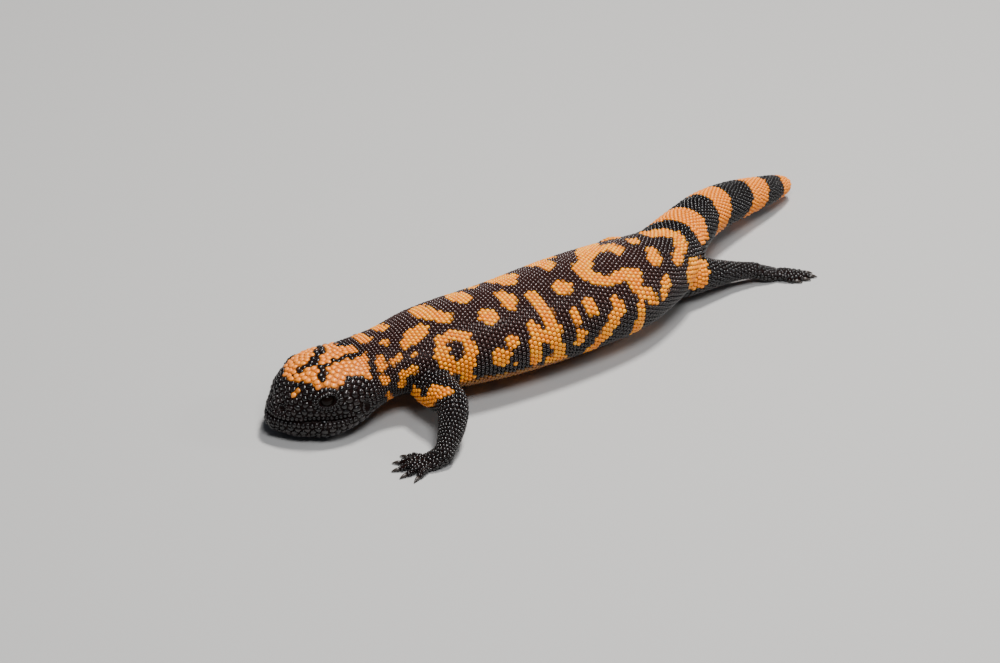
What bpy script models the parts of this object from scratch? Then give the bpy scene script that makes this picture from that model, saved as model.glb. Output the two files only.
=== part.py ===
"""A walking gila monster at life size: a still model in solid pieces, one for each part of the body.

The lizard faces -Y with its left side towards +X, and stands on z = 0. Sizes here are in millimetres, and
become metres as a mesh is made. Head, neck, torso and tail lie round one spine line, and each leg round a
line of its own. A piece is a stretch of its line with a section round it, and a thin gap parts it from the
next piece.
"""

import math
import random

import bmesh
import bpy
from mathutils import Matrix, Vector

MM = 0.001
GAP = 0.3  # left between touching pieces
FLOOR_CENTRE = (29.6, 29.74)  # the middle of the whole footprint, in the lines' coordinates
LINE_STEPS = 24  # samples between two points of a line
SECTION_STEPS = 144  # samples round a section
WELD = 0.00001
UP = Vector((0, 0, 1))
FORWARD = Vector((0, -1, 0))

# The spine from the snout tip to the tail tip: left, back, up.
SPINE = [
    (18, -172, 11.5),
    (18.5, -160, 15),
    (19, -148, 18.5),
    (21.5, -120, 23),
    (23.5, -100, 26.5),
    (27, -72, 28.5),
    (32, -25, 28),
    (33, 20, 28),
    (31, 62, 27),
    (22, 98, 25),
    (5.5, 126.5, 25),
    (-7, 149, 23.5),
    (-14, 168, 21),
    (-19, 188, 17.5),
    (-22.5, 205, 14),
    (-26.5, 222, 10.5),
    (-28, 231, 9),
]

# Sections by distance from the snout: half width, height above the line, depth below it, then how boxy the
# upper and the lower half are (2 is an ellipse).
HEAD_SECTIONS = [
    (0, 3.5, 2.4, 6, 2.1, 2.6),
    (2, 6.8, 4.2, 8, 2.1, 2.8),
    (5, 10, 6.6, 10, 2.1, 3.0),
    (10, 13.8, 10.4, 12, 2.2, 3.0),
    (16, 17.8, 14.3, 14.5, 2.4, 3.0),
    (24, 22.2, 17.9, 16.5, 2.7, 3.0),
    (32, 25.4, 19.4, 17.5, 2.8, 3.0),
    (42, 27.5, 19, 18.5, 2.6, 2.8),
    (50, 27.8, 18, 19, 2.4, 2.5),
    (58, 26, 17.5, 18.5, 2.2, 2.3),
    (70, 24, 17.5, 17.5, 2.1, 2.2),
]
JAW_SECTIONS = [
    (1.8, 4.5, 3.5, 6.5, 2.2, 2.6),
    (4, 9, 6, 9.4, 2.4, 3.0),
    (8, 14.2, 9, 12.2, 2.6, 3.6),
    (13, 19, 12, 14.2, 2.8, 4.0),
    (20, 24, 15, 16.5, 2.8, 4.2),
    (30, 27.8, 16, 17.6, 2.8, 4.2),
    (40, 28.8, 16, 18.2, 2.8, 3.6),
    (54, 27.2, 16, 18.6, 2.6, 2.6),
]
BODY_SECTIONS = [
    (50, 27.8, 18, 19, 2.4, 2.5),
    (58, 26, 17.5, 18.5, 2.2, 2.3),
    (70, 24, 17.5, 17.5, 2.1, 2.2),
    (82, 24.5, 18, 17.5, 2.1, 2.2),
    (98, 29, 19.5, 19, 2.1, 2.3),
    (122, 32.5, 21, 20.5, 2.1, 2.4),
    (160, 34.5, 22, 21.5, 2.1, 2.5),
    (200, 35.5, 23, 22, 2.1, 2.5),
    (235, 33.5, 22, 21.5, 2.1, 2.5),
    (262, 28, 19.5, 19.5, 2.1, 2.3),
    (285, 22.5, 17, 17.5, 2.0, 2.2),
    (305, 17.5, 15.5, 15.5, 2.0, 2.0),
    (330, 14.5, 14, 14, 2.0, 2.0),
    (360, 12.8, 12.5, 12.5, 2.0, 2.0),
    (385, 10.5, 10.3, 10.3, 2.0, 2.0),
    (403, 8.4, 8.2, 8.2, 2.0, 2.0),
    (412, 6.6, 6.4, 6.4, 2.0, 2.0),
    (417, 4.2, 4.1, 4.1, 2.0, 2.0),
    (419, 1.8, 1.8, 1.8, 2.0, 2.0),
]
NECK_CUT = 58
SHOULDER_CUT = 76
TAIL_CUT = 300
TORSO_GRID = (3.8, 28)  # distance between its rings, and points round each

# Face, by distance from the snout, distance to the side, and height over the spine line.
EYE_PLACE = (31, 19.4, 8.3)
EYE_RADIUS = 4.8
EYE_LOOK = (1, 0.25, 0.25)  # which way the eye looks: to the side, up, ahead
LID_SIZE = (7.6, 6.3, 6.3)  # half length, half height, depth
SOCKET_RADIUS = 5.25  # its flat facets still clear the eye by the gap
EYE_OPENING = (4.4, 2.8, 6)  # half length, half height, depth
NOSTRIL_PLACE = (8, 6.9, 8.3)
NOSTRIL_RADIUS = 1.3
EAR_PLACE = (52, 27, -3)
EAR_SIZE = (2.6, 1.3, 4.6)  # depth, half width, half height
EYE_BARE = 10  # no raised scale nearer than this to the eye's middle
EAR_BARE = 6
SNOUT_BARE = 6
# The mouth line by distance from the snout and height over the spine line.
MOUTH_LINE = [(-6, 3.7), (0, 3.5), (6, 2), (18, -1), (30, -3.8), (42, -5.3)]
MOUTH_GAP = 0.4
MOUTH_CUTTER = (45, 40)  # how far its block goes to each side, and down
JAW_END = 50

# Raised scales: how high, and where round the section they stop (degrees from the top).
SCALES = {
    "head": (0.55, 105),
    "neck": (0.8, 110),
    "torso": (0.85, 112),
    "tail": (0.7, 125),
    "leg": (0.55, 180),
}
SCALE_SPREAD = (0.8, 1.1)  # least and greatest share of that height
BARE_EDGE = 3  # scales stop this far from a cut
BARE_HIP = 18  # and this far along a leg, which is inside the body before that
BARE_ROUND_LEGS = 4.8  # and this far from a leg's skin
BARE_STEP = 4  # distance between the bare places along a leg
BARE_PAST_CUT = 14  # how far they go on past its elbow or knee

# Each leg: its line from inside the body to the ankle, radii along the line, the cut at elbow or knee, then
# the foot's heading (degrees from -Y towards +X), its palm's length, and each toe's turn and length.
LEGS = {
    "front_left": {
        "line": [(36, -80, 20.5), (56, -82, 21), (74.5, -83.5, 20.8), (86.5, -91.5, 14.5), (96.5, -103, 7)],
        "radii": [(0, 12), (14, 12.4), (28, 10.8), (40, 9), (54, 7.8), (66, 6.2), (80, 5.5)],
        "cut": 36,
        "heading": -17,
        "palm": 14,
        "toes": [(-40, 12), (-19, 15.5), (0, 17), (19, 15.5), (42, 12)],
    },
    "front_right": {
        "line": [(18, -79, 20), (3, -76, 20), (-10, -68, 16.5), (-18, -63, 11), (-23, -64, 7)],
        "radii": [(0, 11.5), (14, 10.5), (28, 8.8), (40, 7.4), (54, 6.4), (80, 6)],
        "cut": 28,
        "heading": -20,
        "palm": 10,
        "toes": [(-48, 12), (-22, 15), (-2, 16), (20, 14.5), (48, 12)],
    },
    "hind_left": {
        "line": [(24, 96, 19), (32, 108, 17), (34.5, 124.5, 14), (36.5, 141, 11), (39.5, 156, 8.3)],
        "radii": [(0, 14), (14, 12.5), (28, 10), (40, 7.6), (52, 5.6), (65, 4.6)],
        "cut": 29,
        "heading": 166,
        "palm": 16,
        "toes": [(-34, 13), (-25, 18), (-17, 22), (-8, 20), (3, 13)],
    },
    "hind_right": {
        "line": [(24, 94, 20), (8, 90, 22), (-7, 85, 20.5), (-14, 86, 13), (-17, 88, 7)],
        "radii": [(0, 14), (14, 12.5), (28, 10.5), (40, 8.4), (54, 6.6), (60, 6)],
        "cut": 28,
        "heading": -28,
        "palm": 14,
        "toes": [(-42, 12), (-18, 15), (2, 18), (20, 19), (48, 14)],
    },
}
PALM_START = 2  # the palm begins this far behind the ankle
# The palm's rows: share of its length, width as a share of the ankle's radius, height, depth, lower boxiness.
PALM_ROWS = [(0.6, 1.25, 3.4, 5.2, 2.4), (1.0, 1.1, 2.2, 3.3, 2.2)]
PALM_HEIGHT = 2.6
PALM_SAG = 0.6  # how far the middle of its line sags
TOE_RADIUS = 2.3
TOE_HEIGHTS = (2.3, 0.9, 1.2, 0.5)  # of the root, added at the arch, of the knuckle, of the claw's tip
TOE_INSET = 4  # how far a toe's root is inside the palm
TOE_SPREAD = 0.76  # how far a root is to the side, in ankle radii for each radian of the toe's turn
CLAW_LENGTH = 5.0
CLAW_RADII = (0.95, 0.35)
CLAW_ROOT = 1.2  # the toe narrows to its claw over this length
ANKLE_CUT = (1.5, 12)  # how far the ankle's cut goes past its radius, and up

HIDES = {
    "head": ((0.78, 0.36, 0.18), 0.45),
    "lower_jaw": ((0.02, 0.018, 0.018), 0.4),
    "neck": ((0.3, 0.15, 0.07), 0.45),
    "torso": ((0.75, 0.38, 0.12), 0.5),
    "tail": ((0.75, 0.38, 0.12), 0.45),
    "eye": ((0.01, 0.008, 0.008), 0.08),
    "leg": ((0.02, 0.018, 0.018), 0.35),
}


class Line:
    """A smooth line through a few points, read by the distance along it."""

    def __init__(self, points):
        knots = [Vector(p) for p in points]
        ends = [knots[0] * 2 - knots[1]] + knots + [knots[-1] * 2 - knots[-2]]
        self.points = []
        for i in range(1, len(ends) - 2):
            a, b, c, d = ends[i - 1 : i + 3]
            for step in range(LINE_STEPS):
                t = step / LINE_STEPS
                bend = (2 * a - 5 * b + 4 * c - d) * t**2 + (3 * b - a - 3 * c + d) * t**3
                self.points.append(0.5 * (2 * b + (c - a) * t + bend))
        self.points.append(knots[-1])
        self.run = [0.0]
        for before, after in zip(self.points, self.points[1:]):
            self.run.append(self.run[-1] + (after - before).length)
        self.length = self.run[-1]

    def at(self, distance):
        """Place and direction at that distance; past either end the line goes straight on."""
        last = len(self.run) - 2
        i = 0
        while i < last and self.run[i + 1] < distance:
            i += 1
        direction = (self.points[min(i + 3, last + 1)] - self.points[max(i - 2, 0)]).normalized()
        share = (distance - self.run[i]) / (self.run[i + 1] - self.run[i])
        return self.points[i].lerp(self.points[i + 1], share), direction

    def frame(self, distance, above=UP):
        """Place, direction, and the two directions square to it: to its side and upwards."""
        place, direction = self.at(distance)
        side = above.cross(direction).normalized()
        return place, direction, side, direction.cross(side)


def in_metres(point):
    return (point - Vector((*FLOOR_CENTRE, 0))) * MM


def eased(rows, distance):
    """The sizes at that distance, on a smooth curve through the rows."""
    last = len(rows) - 1
    i = 0
    while i < last - 1 and rows[i + 1][0] < distance:
        i += 1
    before, here, after, beyond = rows[max(i - 1, 0)], rows[i], rows[i + 1], rows[min(i + 2, last)]
    span = after[0] - here[0]
    t = min(max((distance - here[0]) / span, 0), 1)
    sizes = []
    for k in range(1, len(here)):
        slope_here = (after[k] - before[k]) / (after[0] - before[0]) * span
        slope_after = (beyond[k] - here[k]) / (beyond[0] - here[0]) * span
        start = here[k] * (2 * t**3 - 3 * t**2 + 1) + slope_here * (t**3 - 2 * t**2 + t)
        end = after[k] * (3 * t**2 - 2 * t**3) + slope_after * (t**3 - t**2)
        sizes.append(start + end)
    return sizes


def section(sizes, count, turn):
    """Evenly spaced points round a section from its top: how far to the side, and how far up."""
    if len(sizes) == 1:
        sizes = [sizes[0], sizes[0], sizes[0], 2.0, 2.0]
    half_width, above, below, upper_power, lower_power = sizes
    fine = []
    for i in range(SECTION_STEPS + 1):
        angle = 2 * math.pi * i / SECTION_STEPS
        across, rise = math.sin(angle), math.cos(angle)
        power = upper_power if rise >= 0 else lower_power
        height = above if rise >= 0 else below
        side = math.copysign(abs(across) ** (2 / power), across) * half_width
        fine.append((side, math.copysign(abs(rise) ** (2 / power), rise) * height))
    run = [0.0]
    for a, b in zip(fine, fine[1:]):
        run.append(run[-1] + math.dist(a, b))
    points = []
    i = 0
    for step in range(count):
        goal = (step + turn) / count * run[-1]
        while run[i + 1] < goal:
            i += 1
        share = (goal - run[i]) / (run[i + 1] - run[i])
        points.append([a + (b - a) * share for a, b in zip(fine[i], fine[i + 1])])
    return points


def tube(line, rows, start, end, spacing, count, above=UP, grow=0.0, parted=False, scales=None):
    """A stretch of a line as a closed mesh whose rings are staggered, so that its faces are diamonds.

    The first ring stands off its cut by the gap where the stretch is parted from the one before. Scales are
    given as their kind, the distances they start and stop at, and the bare places among them.
    """
    rings = max(2, round((end - start) / spacing))
    bm = bmesh.new()
    grid = []
    for i in range(rings + 1):
        distance = start + (end - start) * i / rings
        place, direction, side, up = line.frame(distance, above)
        if i == 0 and parted:
            place = place + direction * GAP
        sizes = eased(rows, distance)
        for k in range(min(3, len(sizes))):
            sizes[k] += grow
        ring = []
        for across, rise in section(sizes, count, 0.5 * (i % 2)):
            ring.append(bm.verts.new(in_metres(place + side * across + up * rise)))
        grid.append(ring)
    diamonds = []
    for i in range(1, rings):
        for j in range(count):
            first, second = (j - 1, j) if i % 2 else (j, j + 1)
            face = bm.faces.new(
                (grid[i - 1][j], grid[i][first % count], grid[i + 1][j], grid[i][second % count])
            )
            degrees = 360 * (j + 0.5 * ((i - 1) % 2)) / count
            diamonds.append((face, min(degrees, 360 - degrees), start + (end - start) * i / rings))
    for edge, inner in ((0, 1), (rings, rings - 1)):
        for j in range(count):
            between = (j + (1 if edge % 2 else 0)) % count
            bm.faces.new((grid[edge][j], grid[edge][(j + 1) % count], grid[inner][between]))
        bm.faces.new(grid[edge])
    bmesh.ops.recalc_face_normals(bm, faces=bm.faces)
    if scales:
        raise_scales(bm, diamonds, *scales)
    return bm


def raise_scales(bm, diamonds, kind, first, last, bare=()):
    """Turns the diamonds between two distances into low pyramids, but not in a bare place or underneath."""
    height, reach = SCALES[kind]
    heights = random.Random(3)
    for face, degrees, distance in diamonds:
        rise = height * heights.uniform(*SCALE_SPREAD)
        middle = face.calc_center_median()
        free = not any((middle - place).length < radius for place, radius in bare)
        if degrees < reach and first < distance < last and free:
            bmesh.ops.poke(bm, faces=[face], offset=rise * MM)


def hide(name):
    """A body part's own material, in the tone of its kind."""
    kind = next((key for key in HIDES if name.startswith(key)), "leg")
    colour, roughness = HIDES[kind]
    material = bpy.data.materials.new(name + "_hide")
    material.use_nodes = True
    shader = material.node_tree.nodes["Principled BSDF"]
    shader.inputs["Base Color"].default_value = (*colour, 1)
    shader.inputs["Roughness"].default_value = roughness
    return material


def new_object(name, bm, home):
    bmesh.ops.triangulate(bm, faces=[f for f in bm.faces if len(f.verts) == 4], quad_method="FIXED")
    mesh = bpy.data.meshes.new(name)
    bm.to_mesh(mesh)
    bm.free()
    made = bpy.data.objects.new(name, mesh)
    home.objects.link(made)
    if home.hide_render:
        made.hide_render = True
        made.display_type = "WIRE"
    return made


def body_piece(name, bm, home):
    made = new_object(name, bm, home)
    made.data.materials.append(hide(name))
    return made


def ball(name, place, radii, home, turn=None, segments=16, rings=10):
    """A ball or egg at a place in metres, with its three half sizes in millimetres."""
    bm = bmesh.new()
    bmesh.ops.create_uvsphere(bm, u_segments=segments, v_segments=rings, radius=1.0)
    matrix = Matrix.Diagonal((*[r * MM for r in radii], 1))
    bm.transform(Matrix.Translation(place) @ (turn.to_4x4() if turn else Matrix()) @ matrix)
    return new_object(name, bm, home)


def slab(name, place, turn, size, home):
    """A box that stands on a place, going up along the turned z axis; its size in metres."""
    bm = bmesh.new()
    bmesh.ops.create_cube(bm, size=1.0)
    bm.transform(Matrix.Translation((0, 0, 0.5)))
    bm.transform(Matrix.Translation(place) @ turn.to_4x4() @ Matrix.Diagonal((*size, 1)))
    return new_object(name, bm, home)


def combine(target, others, operation, solver="EXACT"):
    """Joins other closed meshes to the target or takes them from it, then removes them."""
    group = bpy.data.collections.new("combined")
    for other in others:
        group.objects.link(other)
    step = target.modifiers.new(operation.lower(), "BOOLEAN")
    step.operation = operation
    step.solver = solver
    step.operand_type = "COLLECTION"
    step.collection = group
    bpy.context.view_layer.objects.active = target
    bpy.ops.object.modifier_apply(modifier=step.name)
    for other in others:
        bpy.data.objects.remove(other, do_unlink=True)
    bpy.data.collections.remove(group)


def keep_largest(target):
    """Drops every closed surface but the largest, and faces without area."""
    bm = bmesh.new()
    bm.from_mesh(target.data)
    bmesh.ops.remove_doubles(bm, verts=bm.verts, dist=WELD)
    bmesh.ops.dissolve_degenerate(bm, edges=bm.edges, dist=WELD)
    bmesh.ops.triangulate(bm, faces=[f for f in bm.faces if len(f.verts) > 4])
    waiting = set(bm.verts)
    surfaces = []
    while waiting:
        found = {waiting.pop()}
        edge_of_search = set(found)
        while edge_of_search:
            near = {e.other_vert(v) for v in edge_of_search for e in v.link_edges}
            edge_of_search = near - found
            found |= edge_of_search
        waiting -= found
        surfaces.append(found)
    largest = max(surfaces, key=len)
    bmesh.ops.delete(bm, geom=[v for v in bm.verts if v not in largest], context="VERTS")
    bm.to_mesh(target.data)
    bm.free()


def on_head(spine, distance, across, rise):
    """A place on or in the head: distance from the snout, to the left, and over the spine line."""
    place, direction, side, up = spine.frame(distance)
    return in_metres(place - side * across + up * rise)


def mouth_block(name, spine, lift, home):
    """The space under the mouth line, back to the corner of the mouth, as a slab across the head."""
    wide, deep = MOUTH_CUTTER
    outline = [(distance, rise + lift) for distance, rise in MOUTH_LINE]
    corner = MOUTH_LINE[-1][0] + lift
    outline[-1] = (corner, outline[-1][1])
    outline += [(corner + 2, -deep), (MOUTH_LINE[0][0], -deep)]
    bm = bmesh.new()
    sides = []
    for across in (wide, -wide):
        sides.append([bm.verts.new(on_head(spine, distance, across, rise)) for distance, rise in outline])
    bm.faces.new(sides[0])
    bm.faces.new(sides[1])
    for j in range(len(outline)):
        k = (j + 1) % len(outline)
        bm.faces.new((sides[0][j], sides[0][k], sides[1][k], sides[1][j]))
    bmesh.ops.triangulate(bm, faces=bm.faces)
    bmesh.ops.recalc_face_normals(bm, faces=bm.faces)
    return new_object(name, bm, home)


def build_eye(spine, label, side, body, cutters):
    """One eyeball. Returns the lids to join to the head, then the socket and the opening to cut from it."""
    distance, across, rise = EYE_PLACE
    eye = on_head(spine, distance, side * across, rise)
    place, direction, sideways, up = spine.frame(distance)
    outward = (sideways * -side * EYE_LOOK[0] + up * EYE_LOOK[1] - direction * EYE_LOOK[2]).normalized()
    along = up.cross(outward).normalized()
    turn = Matrix((along, outward.cross(along), outward)).transposed()
    lids = ball("lid", eye, LID_SIZE, cutters, turn)
    socket = ball("socket", eye, (SOCKET_RADIUS,) * 3, cutters, None, 14, 10)
    opening = ball("opening", eye + outward * EYE_OPENING[2] * MM, EYE_OPENING, cutters, turn, 14, 8)
    made = ball("eye_" + label, eye, (EYE_RADIUS,) * 3, body, None, 12, 9)
    made.data.materials.append(hide("eye_" + label))
    made.data.shade_smooth()
    return lids, [socket, opening]


def build_head(spine, body, cutters):
    bare = []
    for side in (1, -1):
        bare.append((on_head(spine, EYE_PLACE[0], side * EYE_PLACE[1], EYE_PLACE[2]), EYE_BARE * MM))
        bare.append((on_head(spine, EAR_PLACE[0], side * EAR_PLACE[1], EAR_PLACE[2]), EAR_BARE * MM))
    scales = ("head", SNOUT_BARE, NECK_CUT - BARE_EDGE, bare)
    head = body_piece("head", tube(spine, HEAD_SECTIONS, 0, NECK_CUT, 2.6, 26, scales=scales), body)
    both_lids = []
    holes = [mouth_block("mouth_cut", spine, 0, cutters)]
    for side, label in ((1, "left"), (-1, "right")):
        lids, eye_holes = build_eye(spine, label, side, body, cutters)
        both_lids.append(lids)
        holes += eye_holes
        nostril = on_head(spine, NOSTRIL_PLACE[0], side * NOSTRIL_PLACE[1], NOSTRIL_PLACE[2])
        holes.append(ball("nostril", nostril, (NOSTRIL_RADIUS,) * 3, cutters, None, 8, 6))
        ear = on_head(spine, EAR_PLACE[0], side * EAR_PLACE[1], EAR_PLACE[2])
        holes.append(ball("ear", ear, EAR_SIZE, cutters, None, 10, 8))
    combine(head, both_lids, "UNION")
    combine(head, holes, "DIFFERENCE")
    keep_largest(head)

    jaw = body_piece("lower_jaw", tube(spine, JAW_SECTIONS, JAW_SECTIONS[0][0], JAW_END, 3.4, 22), body)
    combine(jaw, [mouth_block("jaw_block", spine, -MOUTH_GAP, cutters)], "INTERSECT")
    keep_largest(jaw)


def build_leg(name, leg, line, torso_skin, body):
    """The upper and the lower part of a leg, both cut off at the torso's skin."""
    above = FORWARD if name.startswith("front") else UP
    radii = leg["radii"]
    cut = leg["cut"]
    end = line.length - GAP
    scales = ("leg", BARE_HIP, cut - BARE_EDGE)
    upper = tube(line, radii, 0, cut, 3.0, 11, above, scales=scales)
    scales = ("leg", cut + BARE_EDGE, end - BARE_EDGE)
    lower = tube(line, radii, cut, end, 2.9, 11, above, parted=True, scales=scales)
    for part, bm in (("_upper", upper), ("_lower", lower)):
        made = body_piece(name + part, bm, body)
        combine(made, [torso_skin.copy()], "DIFFERENCE")
        keep_largest(made)


def build_toe(root, way, length, home):
    """A toe with its claw, from its root in the palm to the claw's tip on the floor."""
    root_height, arch, knuckle_height, tip_height = TOE_HEIGHTS
    tip = root + way * length
    claw = tip + way * CLAW_LENGTH
    root.z, tip.z, claw.z = root_height, knuckle_height, tip_height
    middle = root.lerp(tip, 0.5)
    middle.z = root_height + arch
    line = Line([root, middle, tip, claw])
    knuckle = line.length - CLAW_LENGTH
    rows = [(0, TOE_RADIUS), (knuckle * 0.6, TOE_RADIUS * 0.9), (knuckle, TOE_RADIUS * 0.62)]
    rows += [(knuckle + CLAW_ROOT, CLAW_RADII[0]), (line.length, CLAW_RADII[1])]
    return new_object("toe", tube(line, rows, 0, line.length, 3.9, 5), home)


def build_foot(name, leg, line, body, cutters):
    """The palm with its toes joined on, cut flat underneath and square to the leg at the ankle."""
    ankle, direction = line.at(line.length)
    heading = math.radians(leg["heading"])
    ahead = Vector((math.sin(heading), -math.cos(heading), 0))
    sideways = Vector((math.cos(heading), math.sin(heading), 0))
    radius = eased(leg["radii"], line.length)[0]
    palm_end = Vector((ankle.x, ankle.y, PALM_HEIGHT)) + ahead * leg["palm"]
    palm_line = Line([ankle - ahead * PALM_START, ankle.lerp(palm_end, 0.5) - UP * PALM_SAG, palm_end])
    palm_rows = [(0, *(radius * 0.7,) * 3, 2, 2), (3, radius, radius * 0.9, radius * 0.9, 2, 2)]
    for share, width, height, depth, power in PALM_ROWS:
        palm_rows.append((palm_line.length * share, radius * width, height, depth, 2, power))
    foot = body_piece(name + "_foot", tube(palm_line, palm_rows, 0, palm_line.length, 2.6, 10), body)
    parts = [ball("ankle", in_metres(ankle), (radius,) * 3, cutters, None, 11, 8)]
    for turn, length in leg["toes"]:
        turn = math.radians(turn)
        way = Vector((math.sin(heading + turn), -math.cos(heading + turn), 0))
        across = sideways * (turn * radius * TOE_SPREAD)
        parts.append(build_toe(palm_end - ahead * TOE_INSET + across, way, length, cutters))
    combine(foot, parts, "UNION")
    under = slab("under", Vector((0, 0, -0.05)), Matrix.Identity(3), (1.0, 1.0, 0.05), cutters)
    turn = direction.to_track_quat("Z", "Y").to_matrix() @ Matrix.Rotation(math.pi, 3, "X")
    width = (radius + ANKLE_CUT[0]) * 2 * MM
    over = slab("above", in_metres(ankle), turn, (width, width, ANKLE_CUT[1] * MM), cutters)
    combine(foot, [under, over], "DIFFERENCE")
    keep_largest(foot)


def new_collection(name):
    made = bpy.data.collections.new(name)
    bpy.context.scene.collection.children.link(made)
    return made


def bare_round_legs():
    """Places along the legs, each with how far round it the body's scales stay away."""
    places = []
    for leg in LEGS.values():
        line = Line(leg["line"])
        for distance in range(BARE_STEP, leg["cut"] + BARE_PAST_CUT, BARE_STEP):
            radius = eased(leg["radii"], distance)[0] + BARE_ROUND_LEGS
            places.append((in_metres(line.at(distance)[0]), radius * MM))
    return places


def build():
    for item in list(bpy.data.objects):
        bpy.data.objects.remove(item, do_unlink=True)
    body = new_collection("gila_monster")
    cutters = new_collection("cutters")
    cutters.hide_render = True
    spine = Line(SPINE)
    build_head(spine, body, cutters)

    bare = bare_round_legs()
    stretches = [
        ("neck", NECK_CUT, SHOULDER_CUT, 3.4, 26),
        ("torso", SHOULDER_CUT, TAIL_CUT, *TORSO_GRID),
        ("tail", TAIL_CUT, spine.length, 3.3, 15),
    ]
    for name, start, end, spacing, count in stretches:
        scales = (name, start + BARE_EDGE, end - BARE_EDGE, bare)
        bm = tube(spine, BODY_SECTIONS, start, end, spacing, count, parted=True, scales=scales)
        body_piece(name, bm, body)
    skin = tube(spine, BODY_SECTIONS, SHOULDER_CUT, TAIL_CUT, *TORSO_GRID, grow=GAP, parted=True)
    torso_skin = new_object("torso_skin", skin, cutters)
    for name, leg in LEGS.items():
        line = Line(leg["line"])
        build_leg(name, leg, line, torso_skin, body)
        build_foot(name, leg, line, body, cutters)
    bpy.data.objects.remove(torso_skin, do_unlink=True)


build()
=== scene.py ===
import math

import bpy
import numpy as np
from mathutils import Matrix, Vector, kdtree
from mathutils.bvhtree import BVHTree


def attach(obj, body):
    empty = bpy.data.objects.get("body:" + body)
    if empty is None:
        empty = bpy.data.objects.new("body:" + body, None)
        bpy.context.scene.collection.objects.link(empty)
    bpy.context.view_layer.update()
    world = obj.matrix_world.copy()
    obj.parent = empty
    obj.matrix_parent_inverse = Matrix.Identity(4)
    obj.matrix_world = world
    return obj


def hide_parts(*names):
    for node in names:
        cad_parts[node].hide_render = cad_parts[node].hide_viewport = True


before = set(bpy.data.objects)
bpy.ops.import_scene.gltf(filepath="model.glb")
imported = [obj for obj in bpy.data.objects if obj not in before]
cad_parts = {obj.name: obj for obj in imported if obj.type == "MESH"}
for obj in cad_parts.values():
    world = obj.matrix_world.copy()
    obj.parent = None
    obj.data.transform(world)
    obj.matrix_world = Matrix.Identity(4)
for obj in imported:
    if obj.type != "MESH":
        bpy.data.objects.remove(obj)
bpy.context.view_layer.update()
bpy.ops.object.select_all(action="DESELECT")
print("frame loaded")

# Sizes are in millimetres along one spine line, and become metres in the frame as a mesh is made.
mm = 0.001
floorCentre = np.array((29.6, 29.74, 0.0))  # middle of the footprint, in the lines' coordinates
draws = np.random.default_rng(5)

body = {
    "spine": [(18, -172, 11.5), (18.5, -160, 15), (19, -148, 18.5), (21.5, -120, 23), (23.5, -100, 26.5),
              (27, -72, 28.5), (32, -25, 28), (33, 20, 28), (31, 62, 27), (22, 98, 25), (5.5, 126.5, 25),
              (-7, 149, 23.5), (-14, 168, 21), (-19, 188, 17.5), (-22.5, 205, 14), (-26.5, 222, 10.5),
              (-28, 231, 9)],
    # distance from the snout: half width, height over the line, depth under it, boxiness above and below
    "sections": [
        (0, 3.5, 2.4, 6, 2.1, 2.6), (2, 6.8, 4.2, 8, 2.1, 2.8), (5, 10, 6.6, 10, 2.1, 3.0),
        (10, 13.8, 10.4, 12, 2.2, 3.0), (16, 17.8, 14.3, 14.5, 2.4, 3.0), (24, 22.2, 17.9, 16.5, 2.7, 3.0),
        (32, 25.4, 19.4, 17.5, 2.8, 3.0), (42, 27.5, 19, 18.5, 2.6, 2.8), (50, 27.8, 18, 19, 2.4, 2.5),
        (58, 26, 17.5, 18.5, 2.2, 2.3), (70, 24, 17.5, 17.5, 2.1, 2.2), (82, 24.5, 18, 17.5, 2.1, 2.2),
        (98, 29, 19.5, 19, 2.1, 2.3), (122, 32.5, 21, 20.5, 2.1, 2.4), (160, 34.5, 22, 21.5, 2.1, 2.5),
        (200, 35.5, 23, 22, 2.1, 2.5), (235, 33.5, 22, 21.5, 2.1, 2.5), (262, 28, 19.5, 19.5, 2.1, 2.3),
        (285, 22.5, 17, 17.5, 2.0, 2.2), (305, 17.5, 15.5, 15.5, 2.0, 2.0), (330, 14.5, 14, 14, 2.0, 2.0),
        (360, 12.8, 12.5, 12.5, 2.0, 2.0), (385, 10.5, 10.3, 10.3, 2.0, 2.0), (403, 8.4, 8.2, 8.2, 2.0, 2.0),
        (412, 6.6, 6.4, 6.4, 2.0, 2.0), (417, 4.2, 4.1, 4.1, 2.0, 2.0), (419, 1.8, 1.8, 1.8, 2.0, 2.0),
    ],
    "jaw": [(1.8, 4.5, 3.5, 6.5, 2.2, 2.6), (4, 9, 6, 9.4, 2.4, 3.0), (8, 14.2, 9, 12.2, 2.6, 3.6),
            (13, 19, 12, 14.2, 2.8, 4.0), (20, 24, 15, 16.5, 2.8, 4.2), (30, 27.8, 16, 17.6, 2.8, 4.2),
            (40, 28.8, 16, 18.2, 2.8, 3.6), (54, 27.2, 16, 18.6, 2.6, 2.6)],
    "jawRun": (1.8, 53),
    "mouth": [(-6, 3.7), (0, 3.5), (6, 2), (18, -1), (30, -3.8), (42, -5.3)],  # distance, height over the line
}

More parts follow.
